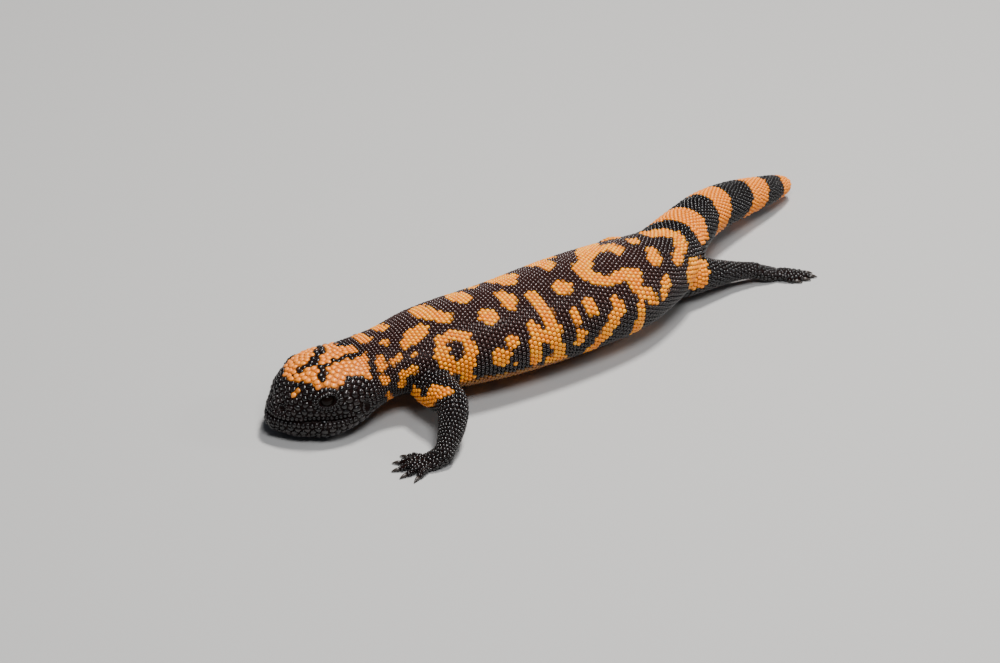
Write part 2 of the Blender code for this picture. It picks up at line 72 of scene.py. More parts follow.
legs = {
    "frontLeft": {"line": [(36, -80, 20.5), (56, -82, 21), (74.5, -83.5, 20.8), (86.5, -91.5, 14.5),
                           (96.5, -103, 7)],
                  "radii": [(0, 12), (14, 12.4), (28, 10.8), (40, 9), (54, 7.8), (66, 6.2), (80, 5.5)],
                  "heading": -17, "palm": 14, "toes": [(-40, 12), (-19, 15.5), (0, 17), (19, 15.5), (42, 12)]},
    "frontRight": {"line": [(18, -79, 20), (3, -76, 20), (-10, -68, 16.5), (-18, -63, 11), (-23, -64, 7)],
                   "radii": [(0, 11.5), (14, 10.5), (28, 8.8), (40, 7.4), (54, 6.4), (80, 6)],
                   "heading": -20, "palm": 10, "toes": [(-48, 12), (-22, 15), (-2, 16), (20, 14.5), (48, 12)]},
    "hindLeft": {"line": [(24, 96, 19), (32, 108, 17), (34.5, 124.5, 14), (36.5, 141, 11), (39.5, 156, 8.3)],
                 "radii": [(0, 14), (14, 12.5), (28, 10), (40, 7.6), (52, 5.6), (65, 4.6)],
                 "heading": 166, "palm": 16, "toes": [(-34, 13), (-25, 18), (-17, 22), (-8, 20), (3, 13)]},
    "hindRight": {"line": [(24, 94, 20), (8, 90, 22), (-7, 85, 20.5), (-14, 86, 13), (-17, 88, 7)],
                  "radii": [(0, 14), (14, 12.5), (28, 10.5), (40, 8.4), (54, 6.6), (60, 6)],
                  "heading": -28, "palm": 14, "toes": [(-42, 12), (-18, 15), (2, 18), (20, 19), (48, 14)]},
}
foot = {
    "palmEnd": 2.6,  # height of the palm line's end
    "sag": 0.6,
    "back": 4,  # the toes start this far behind the palm's end
    "spread": 0.76,  # toe roots apart, in ankle radii for each radian
    "rootHeight": 2.3, "arch": 0.9, "tipHeight": 1.2, "clawHeight": 0.5,
    "toeRadius": 2.3, "claw": 5.0,
}

face = {
    "eye": (31, 19.4, 8.3),  # distance from the snout, to the side, over the line
    "eyeTurn": 0.25,  # the eyes look this much up and this much forward
    "eyeRadius": 4.8,
    "lidRadius": 6.6,
    "opening": (4.7, 3.1),  # half length, half height
    "nostril": (8, 6.9, 8.3),
    "nostrilRadius": 1.5,
    "ear": (52, 27, -3),
    "earSize": (1.6, 4.2),  # half width, half height
    "earDepth": 8,
}


def toFrame(points):
    return (np.asarray(points, float) - floorCentre) * mm


def toLines(points):
    return np.asarray(points, float) / mm + floorCentre


def unit(v):
    return v / np.maximum(np.linalg.norm(v, axis=-1, keepdims=True), 1e-12)


def ramp(value, start, length):  # 0 before start, 1 past start + length
    return np.clip((value - start) / length, 0, 1)


def lineOf(points, above=(0, 0, 1)):  # a smooth line through the points, with its direction and running length
    knots = np.array([tuple(p) for p in points], float)
    ends = np.vstack([2 * knots[0] - knots[1], knots, 2 * knots[-1] - knots[-2]])
    places = []
    for a, b, c, d in zip(ends, ends[1:], ends[2:], ends[3:]):
        for t in np.arange(24) / 24:
            bend = (2 * a - 5 * b + 4 * c - d) * t * t + (3 * b - a - 3 * c + d) * t ** 3
            places.append(0.5 * (2 * b + (c - a) * t + bend))
    places = np.array(places + [knots[-1]])
    run = np.concatenate([[0], np.cumsum(np.linalg.norm(np.diff(places, axis=0), axis=1))])
    return {"places": places, "ahead": unit(np.gradient(places, run, axis=0)), "run": run,
            "above": np.array(above, float), "length": run[-1]}


def frameAt(line, distance):  # place, direction, and the directions to the side and up
    distance = np.asarray(distance, float)
    place = np.stack([np.interp(distance, line["run"], line["places"][:, k]) for k in range(3)], -1)
    ahead = unit(np.stack([np.interp(distance, line["run"], line["ahead"][:, k]) for k in range(3)], -1))
    side = unit(np.cross(np.broadcast_to(line["above"], ahead.shape), ahead))
    return place, ahead, side, np.cross(ahead, side)


def sizesAt(rows, distance):  # the rows' values on a smooth curve
    rows = np.array([r if len(r) > 2 else (r[0], r[1], r[1], r[1], 2, 2) for r in rows], float)
    x = rows[:, 0]
    distance = np.clip(np.asarray(distance, float), x[0], x[-1])
    here = np.clip(np.searchsorted(x, distance) - 1, 0, len(x) - 2)
    before, beyond = np.maximum(here - 1, 0), np.minimum(here + 2, len(x) - 1)
    span = x[here + 1] - x[here]
    t = ((distance - x[here]) / span)[..., None]
    slopeHere = (rows[here + 1, 1:] - rows[before, 1:]) * (span / (x[here + 1] - x[before]))[..., None]
    slopeAfter = (rows[beyond, 1:] - rows[here, 1:]) * (span / (x[beyond] - x[here]))[..., None]
    start = rows[here, 1:] * (2 * t ** 3 - 3 * t ** 2 + 1) + slopeHere * (t ** 3 - 2 * t ** 2 + t)
    return start + rows[here + 1, 1:] * (3 * t ** 2 - 2 * t ** 3) + slopeAfter * (t ** 3 - t ** 2)


def sectionAt(sizes, count):  # points round a section, from underneath over the left side, and the arc from the top
    turn = np.linspace(-np.pi, np.pi, count)
    across, rise = np.sin(turn), np.cos(turn)
    power = np.where(rise >= 0, sizes[..., 3, None], sizes[..., 4, None])
    height = np.where(rise >= 0, sizes[..., 1, None], sizes[..., 2, None])
    x = np.sign(across) * np.abs(across) ** (2 / power) * sizes[..., 0, None]
    y = np.sign(rise) * np.abs(rise) ** (2 / power) * height
    step = np.hypot(np.diff(x, axis=-1), np.diff(y, axis=-1))
    arc = np.concatenate([np.zeros(step.shape[:-1] + (1,)), np.cumsum(step, -1)], -1)
    return x, y, arc - arc[..., count // 2, None]


def meshOf(name, points, faces):
    mesh = bpy.data.meshes.new(name)
    mesh.from_pydata([tuple(p) for p in points], [], faces)
    made = bpy.data.objects.new(name, mesh)
    bpy.context.scene.collection.objects.link(made)
    return made


def tube(name, line, rows, run, grain, inset, lid=None):  # a closed tube; lid gives its greatest height
    step, count = grain
    distance = np.linspace(run[0], run[1], max(3, int((run[1] - run[0]) / step)))
    sizes = sizesAt(rows, distance)
    sizes[:, :3] = np.maximum(sizes[:, :3] - inset, 0.25)
    x, y, arc = sectionAt(sizes, count + 1)
    x, y = x[:, :-1], y[:, :-1]
    if lid is not None:
        y = np.minimum(y, lid(distance)[:, None])
    place, ahead, side, up = frameAt(line, distance)
    points = place[:, None] - side[:, None] * x[..., None] + up[:, None] * y[..., None]
    rings = len(distance)
    faces = [tuple(range(count))[::-1], tuple(range((rings - 1) * count, rings * count))]
    walls = []
    for i in range(rings - 1):
        for j in range(count):
            after = (j + 1) % count
            walls.append((i * count + j, i * count + after, (i + 1) * count + after, (i + 1) * count + j))
    return meshOf(name, toFrame(points.reshape(-1, 3)), walls + faces)


def onHead(distance, across, rise):  # across is to the left
    place, ahead, side, up = frameAt(spine, distance)
    return place - side * across + up * rise


def eyeFrame(side):  # centre and the directions along, up and out of the eye
    distance, across, rise = face["eye"]
    place, ahead, sideways, up = frameAt(spine, distance)
    out = unit(-sideways * side + up * face["eyeTurn"] - ahead * face["eyeTurn"])
    along = unit(np.cross(up, out))
    return onHead(distance, side * across, rise), along, np.cross(out, along), out


def mouthHeight(distance):
    return np.interp(distance, [d for d, h in body["mouth"]], [h for d, h in body["mouth"]])


def footLines(leg, line):  # the palm's line and the toes' lines, as the solids have them
    heading = math.radians(leg["heading"])
    ahead = np.array((math.sin(heading), -math.cos(heading), 0))
    across = np.array((math.cos(heading), math.sin(heading), 0))
    ankle = line["places"][-1]
    radius = float(sizesAt(leg["radii"], line["length"])[0])
    palmEnd = np.array((ankle[0], ankle[1], foot["palmEnd"])) + ahead * leg["palm"]
    palm = lineOf([ankle - ahead * 2, (ankle + palmEnd) / 2 - (0, 0, foot["sag"]), palmEnd])
    palmRows = [(0, radius * 0.7, radius * 0.7, radius * 0.7, 2, 2), (3, radius, radius * 0.9, radius * 0.9, 2, 2),
                (palm["length"] * 0.6, radius * 1.25, 3.4, 5.2, 2, 2.4),
                (palm["length"], radius * 1.1, 2.2, 3.3, 2, 2.2)]
    toes = []
    for turn, length in leg["toes"]:
        turn = math.radians(turn)
        way = np.array((math.sin(heading + turn), -math.cos(heading + turn), 0))
        root = palmEnd - ahead * foot["back"] + across * (turn * radius * foot["spread"])
        root[2] = foot["rootHeight"]
        tip = root + way * length
        claw = tip + way * foot["claw"]
        toes.append(lineOf([root, (root + tip) / 2 + (0, 0, foot["arch"]), (tip[0], tip[1], foot["tipHeight"]),
                            (claw[0], claw[1], foot["clawHeight"])]))
    return palm, palmRows, toes


def joined(name, pieces):
    bpy.ops.object.select_all(action="DESELECT")
    for piece in pieces:
        piece.select_set(True)
    bpy.context.view_layer.objects.active = pieces[0]
    bpy.ops.object.join()
    pieces[0].name = name
    pieces[0].data.name = name
    return pieces[0]


def applied(piece, kind, **values):
    step = piece.modifiers.new(kind.lower(), kind)
    for key, value in values.items():
        setattr(step, key, value)
    bpy.context.view_layer.objects.active = piece
    bpy.ops.object.modifier_apply(modifier=step.name)


def vertexValues(piece, key):
    found = np.empty(len(piece.data.vertices) * 3, np.float32)
    piece.data.vertices.foreach_get(key, found)
    return found.reshape(-1, 3).astype(float)


def setCoordinates(piece, points):
    piece.data.vertices.foreach_set("co", points.astype(np.float32).ravel())
    piece.data.update()


# the lines, and what each skin point belongs to
spine = lineOf(body["spine"])
for name, leg in legs.items():
    leg["bone"] = lineOf(leg["line"], (0, -1, 0) if name.startswith("front") else (0, 0, 1))
    leg["palmLine"], leg["palmRows"], leg["toeLines"] = footLines(leg, leg["bone"])

tableStep = 1.0
roundCount = 145  # points round a section in the tables
tableRuns = np.arange(0, spine["length"], tableStep)
tableX, tableY, tableArc = sectionAt(sizesAt(body["sections"], tableRuns), roundCount)
tableTurn = np.arctan2(tableX, tableY)
tableTurn[:, 0], tableTurn[:, -1] = -np.pi, np.pi
tableReach = np.hypot(tableX, tableY)


def halfRound(along):  # the arc from the back's middle to the belly's middle
    return np.interp(along, tableRuns, tableArc[:, -1])


def limbSamples(leg):  # places, radii and running lengths down the leg, the palm and the toes
    bone, palm = leg["bone"], leg["palmLine"]
    places = [bone["places"], palm["places"]]
    reach = [sizesAt(leg["radii"], bone["run"])[:, 0], sizesAt(leg["palmRows"], palm["run"])[:, 1:3].mean(1)]
    runs = [bone["run"], bone["length"] + palm["run"]]
    for line in leg["toeLines"]:
        places.append(line["places"])
        reach.append(np.full(len(line["run"]), foot["toeRadius"] * 0.9))
        runs.append(bone["length"] + (leg["palm"] - foot["back"]) + line["run"])
    return np.vstack(places), np.concatenate(reach), np.concatenate(runs)


def belongsHere(p):
    near = ((p[:, None] - spine["places"][None]) ** 2).sum(-1).argmin(1)
    along = spine["run"][near] + ((p - spine["places"][near]) * spine["ahead"][near]).sum(-1)
    place, ahead, side, up = frameAt(spine, along)
    off = p - place
    x, y = -(off * side).sum(-1), (off * up).sum(-1)
    turn = np.arctan2(x, y)
    row = np.clip((along / tableStep).round().astype(int), 0, len(tableRuns) - 1)
    around, reach = np.zeros(len(p)), np.zeros(len(p))
    for r in np.unique(row):
        mask = row == r
        around[mask] = np.interp(turn[mask], tableTurn[r], tableArc[r])
        reach[mask] = np.interp(turn[mask], tableTurn[r], tableReach[r])
    best = np.hypot(x, y) - reach
    region = np.zeros(len(p), int)
    for k, leg in enumerate(legs.values(), 1):
        places, radii, runs = leg["samples"]
        distance = np.sqrt(((p[:, None] - places[None]) ** 2).sum(-1)) - radii[None]
        nearest = distance.argmin(1)
        gap = distance[np.arange(len(p)), nearest]
        mine = gap < best - 0.3
        bonePlace, boneAhead, boneSide, boneUp = frameAt(leg["bone"], runs[nearest])
        off = p - places[nearest]
        turn = np.arctan2(-(off * boneSide).sum(-1), (off * boneUp).sum(-1))
        best = np.where(mine, gap, best)
        region = np.where(mine, k, region)
        along = np.where(mine, runs[nearest], along)
        around = np.where(mine, turn * radii[nearest], around)
    return region, along, around


def belongs(points):  # 0 for the trunk or a leg's number, the distance along it and the arc round it
    some = 8000  # points at a time
    found = [belongsHere(points[start:start + some]) for start in range(0, len(points), some)]
    return [np.concatenate(values) for values in zip(*found)]


for leg in legs.values():
    leg["samples"] = limbSamples(leg)

# the skin: lofts joined, remeshed into one surface and smoothed
skinPlan = {
    "inset": 0.45,  # how far the skin lies inside the solids
    "trunk": (1.5, 72), "jaw": (1.5, 64), "leg": (2, 28), "palm": (1, 24), "toe": (1, 16),  # step, points round
    "underLip": 0.3,
    "toeInset": 0.15,
    "lidStretch": (1.15, 0.95, 0.95),
    "voxel": 1.05,
    "joinSpot": {"front": 17.0, "hind": 15.0},  # where a leg leaves the trunk, along the leg
    "joinPeak": 1.6, "joinReach": 16,
    "joinSmooth": 14, "allSmooth": 4,
    "floorGap": 0.35,
}
inset = skinPlan["inset"]


def legLofts(leg):
    bone, palm, radii = leg["bone"], leg["palmLine"], leg["radii"]
    made = [tube("legLoft", bone, radii, (0, bone["length"]), skinPlan["leg"], inset),
            tube("palmLoft", palm, leg["palmRows"], (0, palm["length"]), skinPlan["palm"], inset)]
    radius = float(sizesAt(radii, bone["length"])[0])
    bpy.ops.mesh.primitive_uv_sphere_add(segments=24, ring_count=16, radius=(radius - inset) * mm,
                                         location=toFrame(bone["places"][-1]))
    made.append(bpy.context.object)
    thick = foot["toeRadius"]
    for line in leg["toeLines"]:
        knuckle = line["length"] - foot["claw"]
        rows = [(0, thick), (knuckle * 0.6, thick * 0.9), (knuckle, thick * 0.62), (knuckle + 1.5, 0.7)]
        made.append(tube("toeLoft", line, rows, (0, knuckle + 1.2), skinPlan["toe"], skinPlan["toeInset"]))
    return made


def lidBall(side):
    centre, along, up, out = eyeFrame(side)
    turn = Matrix((along, up, out)).transposed().to_4x4()
    bpy.ops.mesh.primitive_uv_sphere_add(segments=32, ring_count=20, radius=(face["lidRadius"] - inset) * mm)
    lid = bpy.context.object
    stretch = Matrix.Diagonal(skinPlan["lidStretch"] + (1,))
    lid.data.transform(Matrix.Translation(toFrame(centre)) @ turn @ stretch)
    return lid


lofts = [tube("skin", spine, body["sections"], (0, spine["length"] - 0.3), skinPlan["trunk"], inset),
         tube("jawLoft", spine, body["jaw"], body["jawRun"], skinPlan["jaw"], inset,
              lambda d: mouthHeight(d) - skinPlan["underLip"])]
for leg in legs.values():
    lofts += legLofts(leg)
lofts += [lidBall(1), lidBall(-1)]
for loft in lofts:
    loft.select_set(True)
bpy.context.view_layer.objects.active = lofts[0]
bpy.ops.object.transform_apply(location=True, rotation=True, scale=True)
skin = joined("skin", lofts)
applied(skin, "REMESH", mode="VOXEL", voxel_size=skinPlan["voxel"] * mm)
print("skin remeshed", len(skin.data.polygons))

# joins between limbs and trunk are smoothed more than the rest
spot = toLines(vertexValues(skin, "co"))
softness = np.zeros(len(spot))
for name, leg in legs.items():
    root = frameAt(leg["bone"], skinPlan["joinSpot"]["front" if name.startswith("front") else "hind"])[0]
    near = skinPlan["joinPeak"] - np.linalg.norm(spot - root, axis=1) / skinPlan["joinReach"]
    softness = np.maximum(softness, np.clip(near, 0, 1))
group = skin.vertex_groups.new(name="joins")
for k in np.nonzero(softness > 0.02)[0]:
    group.add([int(k)], float(softness[k]), "REPLACE")
applied(skin, "SMOOTH", factor=0.5, iterations=skinPlan["joinSmooth"], vertex_group="joins")
applied(skin, "SMOOTH", factor=0.5, iterations=skinPlan["allSmooth"])
skin.vertex_groups.clear()

# mouth line, nostrils, ears and eye hollows
pressPlan = {
    "mouthEnd": (41, 44),  # the line fades between these distances
    "mouth": (0.85, 1.2), "nostril": (0.95, 3.2), "ear": (0.8, 2.2),  # reach, depth
    "hollow": (1.3, 5.0),  # in openings, depth
    "lidRim": (1.32, 0.16, 0.55),  # in openings, half width, height
}


def pressed(points, normals, distance, groove):  # pushes points inward in a soft groove
    reach, depth = groove
    return points - normals * (depth * np.exp(-(distance / reach) ** 2))[:, None]


def holeGaps(points, sign):  # how far from the middle of a nostril and of an ear; 1 is the hole's rim
    nostril = points - onHead(face["nostril"][0], sign * face["nostril"][1], face["nostril"][2])
    ear = points - onHead(face["ear"][0], sign * face["ear"][1], face["ear"][2])
    place, ahead, side, up = frameAt(spine, face["ear"][0])
    wide, high = face["earSize"]
    earGap = np.sqrt((ear @ ahead / wide) ** 2 + (ear @ up / high) ** 2 + (ear @ side / face["earDepth"]) ** 2)
    return np.linalg.norm(nostril, axis=1) / face["nostrilRadius"], earGap


spot = toLines(vertexValues(skin, "co"))
region, along, around = belongs(spot)
normals = vertexValues(skin, "normal")
place, ahead, side, up = frameAt(spine, along)
rise = ((spot - place) * up).sum(-1)
fade, end = pressPlan["mouthEnd"]
mouthGap = np.abs(rise - mouthHeight(along)) + np.clip(along - fade, 0, None)
mouthGap = np.where((region == 0) & (along < end), mouthGap, 99)
spot = pressed(spot, normals, mouthGap, pressPlan["mouth"])
for sign in (1, -1):
    nostrilGap, earGap = holeGaps(spot, sign)
    spot = pressed(spot, normals, nostrilGap, pressPlan["nostril"])
    spot = pressed(spot, normals, earGap, pressPlan["ear"])
    centre, alongEye, upEye, out = eyeFrame(sign)
    off = spot - centre
    ring = np.sqrt((off @ alongEye / face["opening"][0]) ** 2 + (off @ upEye / face["opening"][1]) ** 2)
    outside = off @ out > 0
    reach, depth = pressPlan["hollow"]
    spot -= out * (np.clip(reach - ring, 0, 1) * outside * depth)[:, None]
    middle, wide, high = pressPlan["lidRim"]
    spot += out * (np.exp(-((ring - middle) / wide) ** 2) * outside * high)[:, None]
spot[:, 2] = np.maximum(spot[:, 2], skinPlan["floorGap"])
setCoordinates(skin, toFrame(spot))
bpy.ops.object.select_all(action="DESELECT")
skin.select_set(True)
bpy.context.view_layer.objects.active = skin
bpy.ops.object.shade_smooth()
print("skin shaped")

# the coat: where each scale stands
coatPlan = {
    "headEnd": 60,
    "rowShare": 0.88,  # distance between rows, as a share of the pitch
    # pitch by the distance from the snout, or down a leg
    "trunkPitch": ([60, 84, 106, 260, 320, 380, 419], [2.15, 2.25, 2.8, 2.8, 2.7, 2.45, 1.9]),
    "topPitch": ([0, 8, 16, 30, 45, 60], [2.6, 3.1, 3.2, 3.2, 3.2, 2.6]),
    "cheekPitch": ([0, 10, 30, 45, 60], [2.6, 3.4, 3.4, 4.2, 2.8]),
    "lowPitch": ([0, 20, 60], [2.3, 2.8, 2.8]),
    "legPitch": ([0, 40, 60, 75, 100], [2.8, 2.75, 2.5, 2.2, 1.8]),
    "legRowPitch": ([0, 40, 60, 80], [2.8, 2.75, 2.5, 2.3]),
    "cheekFrom": 0.34, "lowFrom": 0.66,  # shares of the half round
    "legStart": 6.0,
    "lipRows": ((1.55, 2.5), (-1.6, 2.6)),  # height over the mouth line, pitch
    "lipCorner": 43, "lipCentre": 15.0,
    "lidRings": ((1.35, 1.5), (3.15, 2.3)),  # past the opening, pitch
    # half sizes, pitch, and the way out to the side, up and forward
    "holeRings": {"nostril": ((2.7, 2.5), 1.6, (0.6, 0.7, 0.4)), "ear": ((2.7, 5.2), 1.8, (1, 0, 0))},
    "offSkin": 1.6,  # row places further off the skin are left out
    "rowRoom": 0.62, "freeRoom": 0.84, "movedRoom": 0.6, "lastRoom": 0.8,  # least gaps, in pitches
    "tries": 70000,
    "lidKeep": 0.8, "mouthKeep": 0.9,  # kept free past the opening and beside the mouth line
    "holeBlock": (2.3, 1.6), "holeKeep": (1.5, 1.1),  # nostril, ear
    "moves": 10, "spread": 1.08, "push": 0.45,
    "cell": 2.0,
}
mesh = skin.data
mesh.calc_loop_triangles()
triangles = np.empty(len(mesh.loop_triangles) * 3, np.int32)
mesh.loop_triangles.foreach_get("vertices", triangles)
triangles = triangles.reshape(-1, 3)
skinPoints = toLines(vertexValues(skin, "co"))
skinNormals = vertexValues(skin, "normal")
tree = BVHTree.FromPolygons([tuple(p) for p in skinPoints], [tuple(t) for t in triangles.tolist()])


def onSkin(points):  # nearest places on the skin, their smooth normals and the distances
    places, directions, gaps = np.zeros((len(points), 3)), np.zeros((len(points), 3)), np.zeros(len(points))
    for k, p in enumerate(points.tolist()):
        place, normal, index, gap = tree.find_nearest(p)
        places[k], gaps[k] = place, gap
        directions[k] = skinNormals[triangles[index]].sum(0)
    return places, unit(directions), gaps


def cast(origin, way):  # where a ray meets the skin
    hit = tree.ray_cast(Vector(origin), Vector(way))
    return None if hit[0] is None else np.array(hit[0])


def pitchAt(region, along, around):
    share = np.abs(around) / halfRound(along)
    top = np.where(share > coatPlan["cheekFrom"], np.interp(along, *coatPlan["cheekPitch"]),
                   np.interp(along, *coatPlan["topPitch"]))
    head = np.where(share > coatPlan["lowFrom"], np.interp(along, *coatPlan["lowPitch"]), top)
    pitch = np.where(along < coatPlan["headEnd"], head, np.interp(along, *coatPlan["trunkPitch"]))
    return np.where(region > 0, np.interp(along, *coatPlan["legPitch"]), pitch)


def bodyRows():
    distance, count, row = float(coatPlan["headEnd"]), 0, 0
    found = []
    while distance < spine["length"] - 1.5:
        pitch = float(np.interp(distance, *coatPlan["trunkPitch"]))
        x, y, arc = sectionAt(sizesAt(body["sections"], np.array([distance])), roundCount)
        around = arc[0, -1] * 2
        if abs(around / pitch / max(count, 1) - 1) > 0.07:
            count = max(6, round(around / pitch))
        steps = (np.arange(count) + 0.5 * (row % 2)) / count
        arcs = (steps - 0.5) * around
        xs, ys = np.interp(arcs, arc[0], x[0]), np.interp(arcs, arc[0], y[0])
        place, ahead, side, up = frameAt(spine, distance)
        found.append(place - side * xs[:, None] + up * ys[:, None])
        distance += pitch * coatPlan["rowShare"]
        row += 1
    return np.vstack(found)


def legRows(leg):
    distance, count, row = coatPlan["legStart"], 0, 0
    found = []
    while distance < leg["bone"]["length"] + 1:
        radius = float(sizesAt(leg["radii"], distance)[0])
        pitch = float(np.interp(distance, *coatPlan["legRowPitch"]))
        if abs(2 * math.pi * radius / pitch / max(count, 1) - 1) > 0.09:
            count = max(7, round(2 * math.pi * radius / pitch))
        turns = 2 * np.pi * (np.arange(count) + 0.5 * (row % 2)) / count
        place, ahead, side, up = frameAt(leg["bone"], distance)
        found.append(place + radius * (side * np.sin(turns)[:, None] + up * np.cos(turns)[:, None]))
        distance += pitch * coatPlan["rowShare"]
        row += 1
    return np.vstack(found)


def lipRow(rise, pitch):  # a row of lip scales round the mouth, from corner to corner
    corner, centre, far = coatPlan["lipCorner"], coatPlan["lipCentre"], 60
    hits = []
    for distance in np.arange(corner, centre, -0.5):
        origin = onHead(distance, -far, mouthHeight(distance) + rise)
        hits.append(cast(origin, -frameAt(spine, distance)[2]))
    place, ahead, side, up = frameAt(spine, centre)
    for turn in np.radians(np.arange(-90, 90.1, 1.5)):
        way = -ahead * math.cos(turn) - side * math.sin(turn)
        distance = max(centre - centre * math.cos(turn), 0)
        height = mouthHeight(distance) + rise
        base = frameAt(spine, distance)[0] @ up - place @ up
        hits.append(cast(place + way * far + up * (height + base), -way))
    for distance in np.arange(centre, corner, 0.5):
        origin = onHead(distance, far, mouthHeight(distance) + rise)
        hits.append(cast(origin, frameAt(spine, distance)[2]))
    hits = np.array([h for h in hits if h is not None])
    run = np.concatenate([[0], np.cumsum(np.linalg.norm(np.diff(hits, axis=0), axis=1))])
    goals = np.linspace(0, run[-1], round(run[-1] / pitch) + 1)
    return np.stack([np.interp(goals, run, hits[:, k]) for k in range(3)], -1)


def ovalRow(centre, along, up, out, half, pitch):  # granules on an oval on the skin
    count = round(math.pi * (half[0] + half[1]) / pitch)
    hits = []
    for k in range(count):
        turn = 2 * math.pi * (k + 0.5) / count
        place = centre + along * half[0] * math.cos(turn) + up * half[1] * math.sin(turn)
        hits.append(cast(place + out * 25, -out))
    return np.array([h for h in hits if h is not None])


fixedRows = [(lipRow(rise, pitch), pitch) for rise, pitch in coatPlan["lipRows"]]
for sign in (1, -1):
    centre, alongEye, upEye, out = eyeFrame(sign)
    for grow, pitch in coatPlan["lidRings"]:
        half = (face["opening"][0] + grow, face["opening"][1] + grow)
        fixedRows.append((ovalRow(centre, alongEye, upEye, out, half, pitch), pitch))
    for key, (half, pitch, slant) in coatPlan["holeRings"].items():
        distance, across, rise = face[key]
        place, ahead, sideways, up = frameAt(spine, distance)
        out = unit(-sideways * sign * slant[0] + up * slant[1] - ahead * slant[2])
        alongHole = unit(np.cross(up, out))
        centre = onHead(distance, sign * across, rise)
        fixedRows.append((ovalRow(centre, alongHole, np.cross(out, alongHole), out, half, pitch), pitch))
fixedPoints = np.vstack([row for row, pitch in fixedRows])
fixedPitch = np.concatenate([np.full(len(row), pitch) for row, pitch in fixedRows])


def rowsKept(found, number, end):
    places, ways, gaps = onSkin(found)
    region, along, around = belongs(places)
    return places[(gaps < coatPlan["offSkin"]) & (region == number) & (along < end)]


rowPoints = [rowsKept(bodyRows(), 0, math.inf)]
for k, leg in enumerate(legs.values(), 1):
    rowPoints.append(rowsKept(legRows(leg), k, leg["bone"]["length"] + 0.5))
rowPoints = np.vstack(rowPoints)
print("rows", len(rowPoints), "fixed", len(fixedPoints))

points = np.vstack([fixedPoints, rowPoints])
pitches = np.concatenate([fixedPitch, pitchAt(*belongs(rowPoints))])


def finderOf(points):
    finder = kdtree.KDTree(len(points))
    for k, p in enumerate(points):
        finder.insert(p, k)
    finder.balance()
    return finder


def notCrowded(points, pitches, share):  # False for later points that stand too close to earlier ones
    finder = finderOf(points)
    dropped = np.zeros(len(points), bool)
    for k, p in enumerate(points):
        if dropped[k]:
            continue
        for place, other, gap in finder.find_range(p, pitches[k]):
            if other > k and not dropped[other] and gap < share * 0.5 * (pitches[k] + pitches[other]):
                dropped[other] = True
    return ~dropped


def neighboursOf(points, count):
    finder = finderOf(points)
    index = np.zeros((len(points), count), int)
    for k, p in enumerate(points):
        index[k] = [n[1] for n in finder.find_n(p, count + 1)[1:]]
    return index


keep = notCrowded(points, pitches, coatPlan["rowRoom"])
points, pitches = points[keep], pitches[keep]

# free places fill the head, the feet and the joins
corners = skinPoints[triangles]
first, second = corners[:, 1] - corners[:, 0], corners[:, 2] - corners[:, 0]
areas = np.linalg.norm(np.cross(first, second), axis=1) / 2
chosen = draws.choice(len(triangles), coatPlan["tries"], p=areas / areas.sum())
u, v = draws.random((2, len(chosen)))
flip = u + v > 1
u[flip], v[flip] = 1 - u[flip], 1 - v[flip]
tries = corners[chosen, 0] + first[chosen] * u[:, None] + second[chosen] * v[:, None]
region, along, around = belongs(tries)
tryPitch = pitchAt(region, along, around)
blocked = np.zeros(len(tries), bool)
for sign in (1, -1):
    centre, alongEye, upEye, out = eyeFrame(sign)
    off = tries - centre
    long, high = (half + coatPlan["lidKeep"] for half in face["opening"])
    blocked |= (np.sqrt((off @ alongEye / long) ** 2 + (off @ upEye / high) ** 2) < 1) & (off @ out > -4)
    nostrilGap, earGap = holeGaps(tries, sign)
    blocked |= (nostrilGap < coatPlan["holeBlock"][0]) | (earGap < coatPlan["holeBlock"][1])
place, ahead, side, up = frameAt(spine, along)
rise = ((tries - place) * up).sum(-1)
byMouth = np.abs(rise - mouthHeight(along)) < coatPlan["mouthKeep"]
blocked |= (region == 0) & (along < coatPlan["lipCorner"]) & byMouth
cells = {}


def cellOf(p):
    return (int(p[0] // coatPlan["cell"]), int(p[1] // coatPlan["cell"]), int(p[2] // coatPlan["cell"]))


def addToCells(p, pitch):
    cells.setdefault(cellOf(p), []).append((p[0], p[1], p[2], pitch))


def roomFor(p, pitch, share):
    cx, cy, cz = cellOf(p)
    for i in (-2, -1, 0, 1, 2):
        for j in (-2, -1, 0, 1, 2):
            for k in (-2, -1, 0, 1, 2):
                for x, y, z, other in cells.get((cx + i, cy + j, cz + k), ()):
                    limit = share * 0.5 * (pitch + other)
                    if (x - p[0]) ** 2 + (y - p[1]) ** 2 + (z - p[2]) ** 2 < limit * limit:
                        return False
    return True


def filled(points, pitches, share):  # the points with the tries that have room among them
    cells.clear()
    for p, pitch in zip(points.tolist(), pitches.tolist()):
        addToCells(p, pitch)
    found, foundPitch = [], []
    for p, pitch, no in zip(tries.tolist(), tryPitch.tolist(), blocked.tolist()):
        if not no and roomFor(p, pitch, share):
            addToCells(p, pitch)
            found.append(p)
            foundPitch.append(pitch)
    print("free", len(found))
    return np.vstack([points, np.array(found).reshape(-1, 3)]), np.concatenate([pitches, foundPitch])


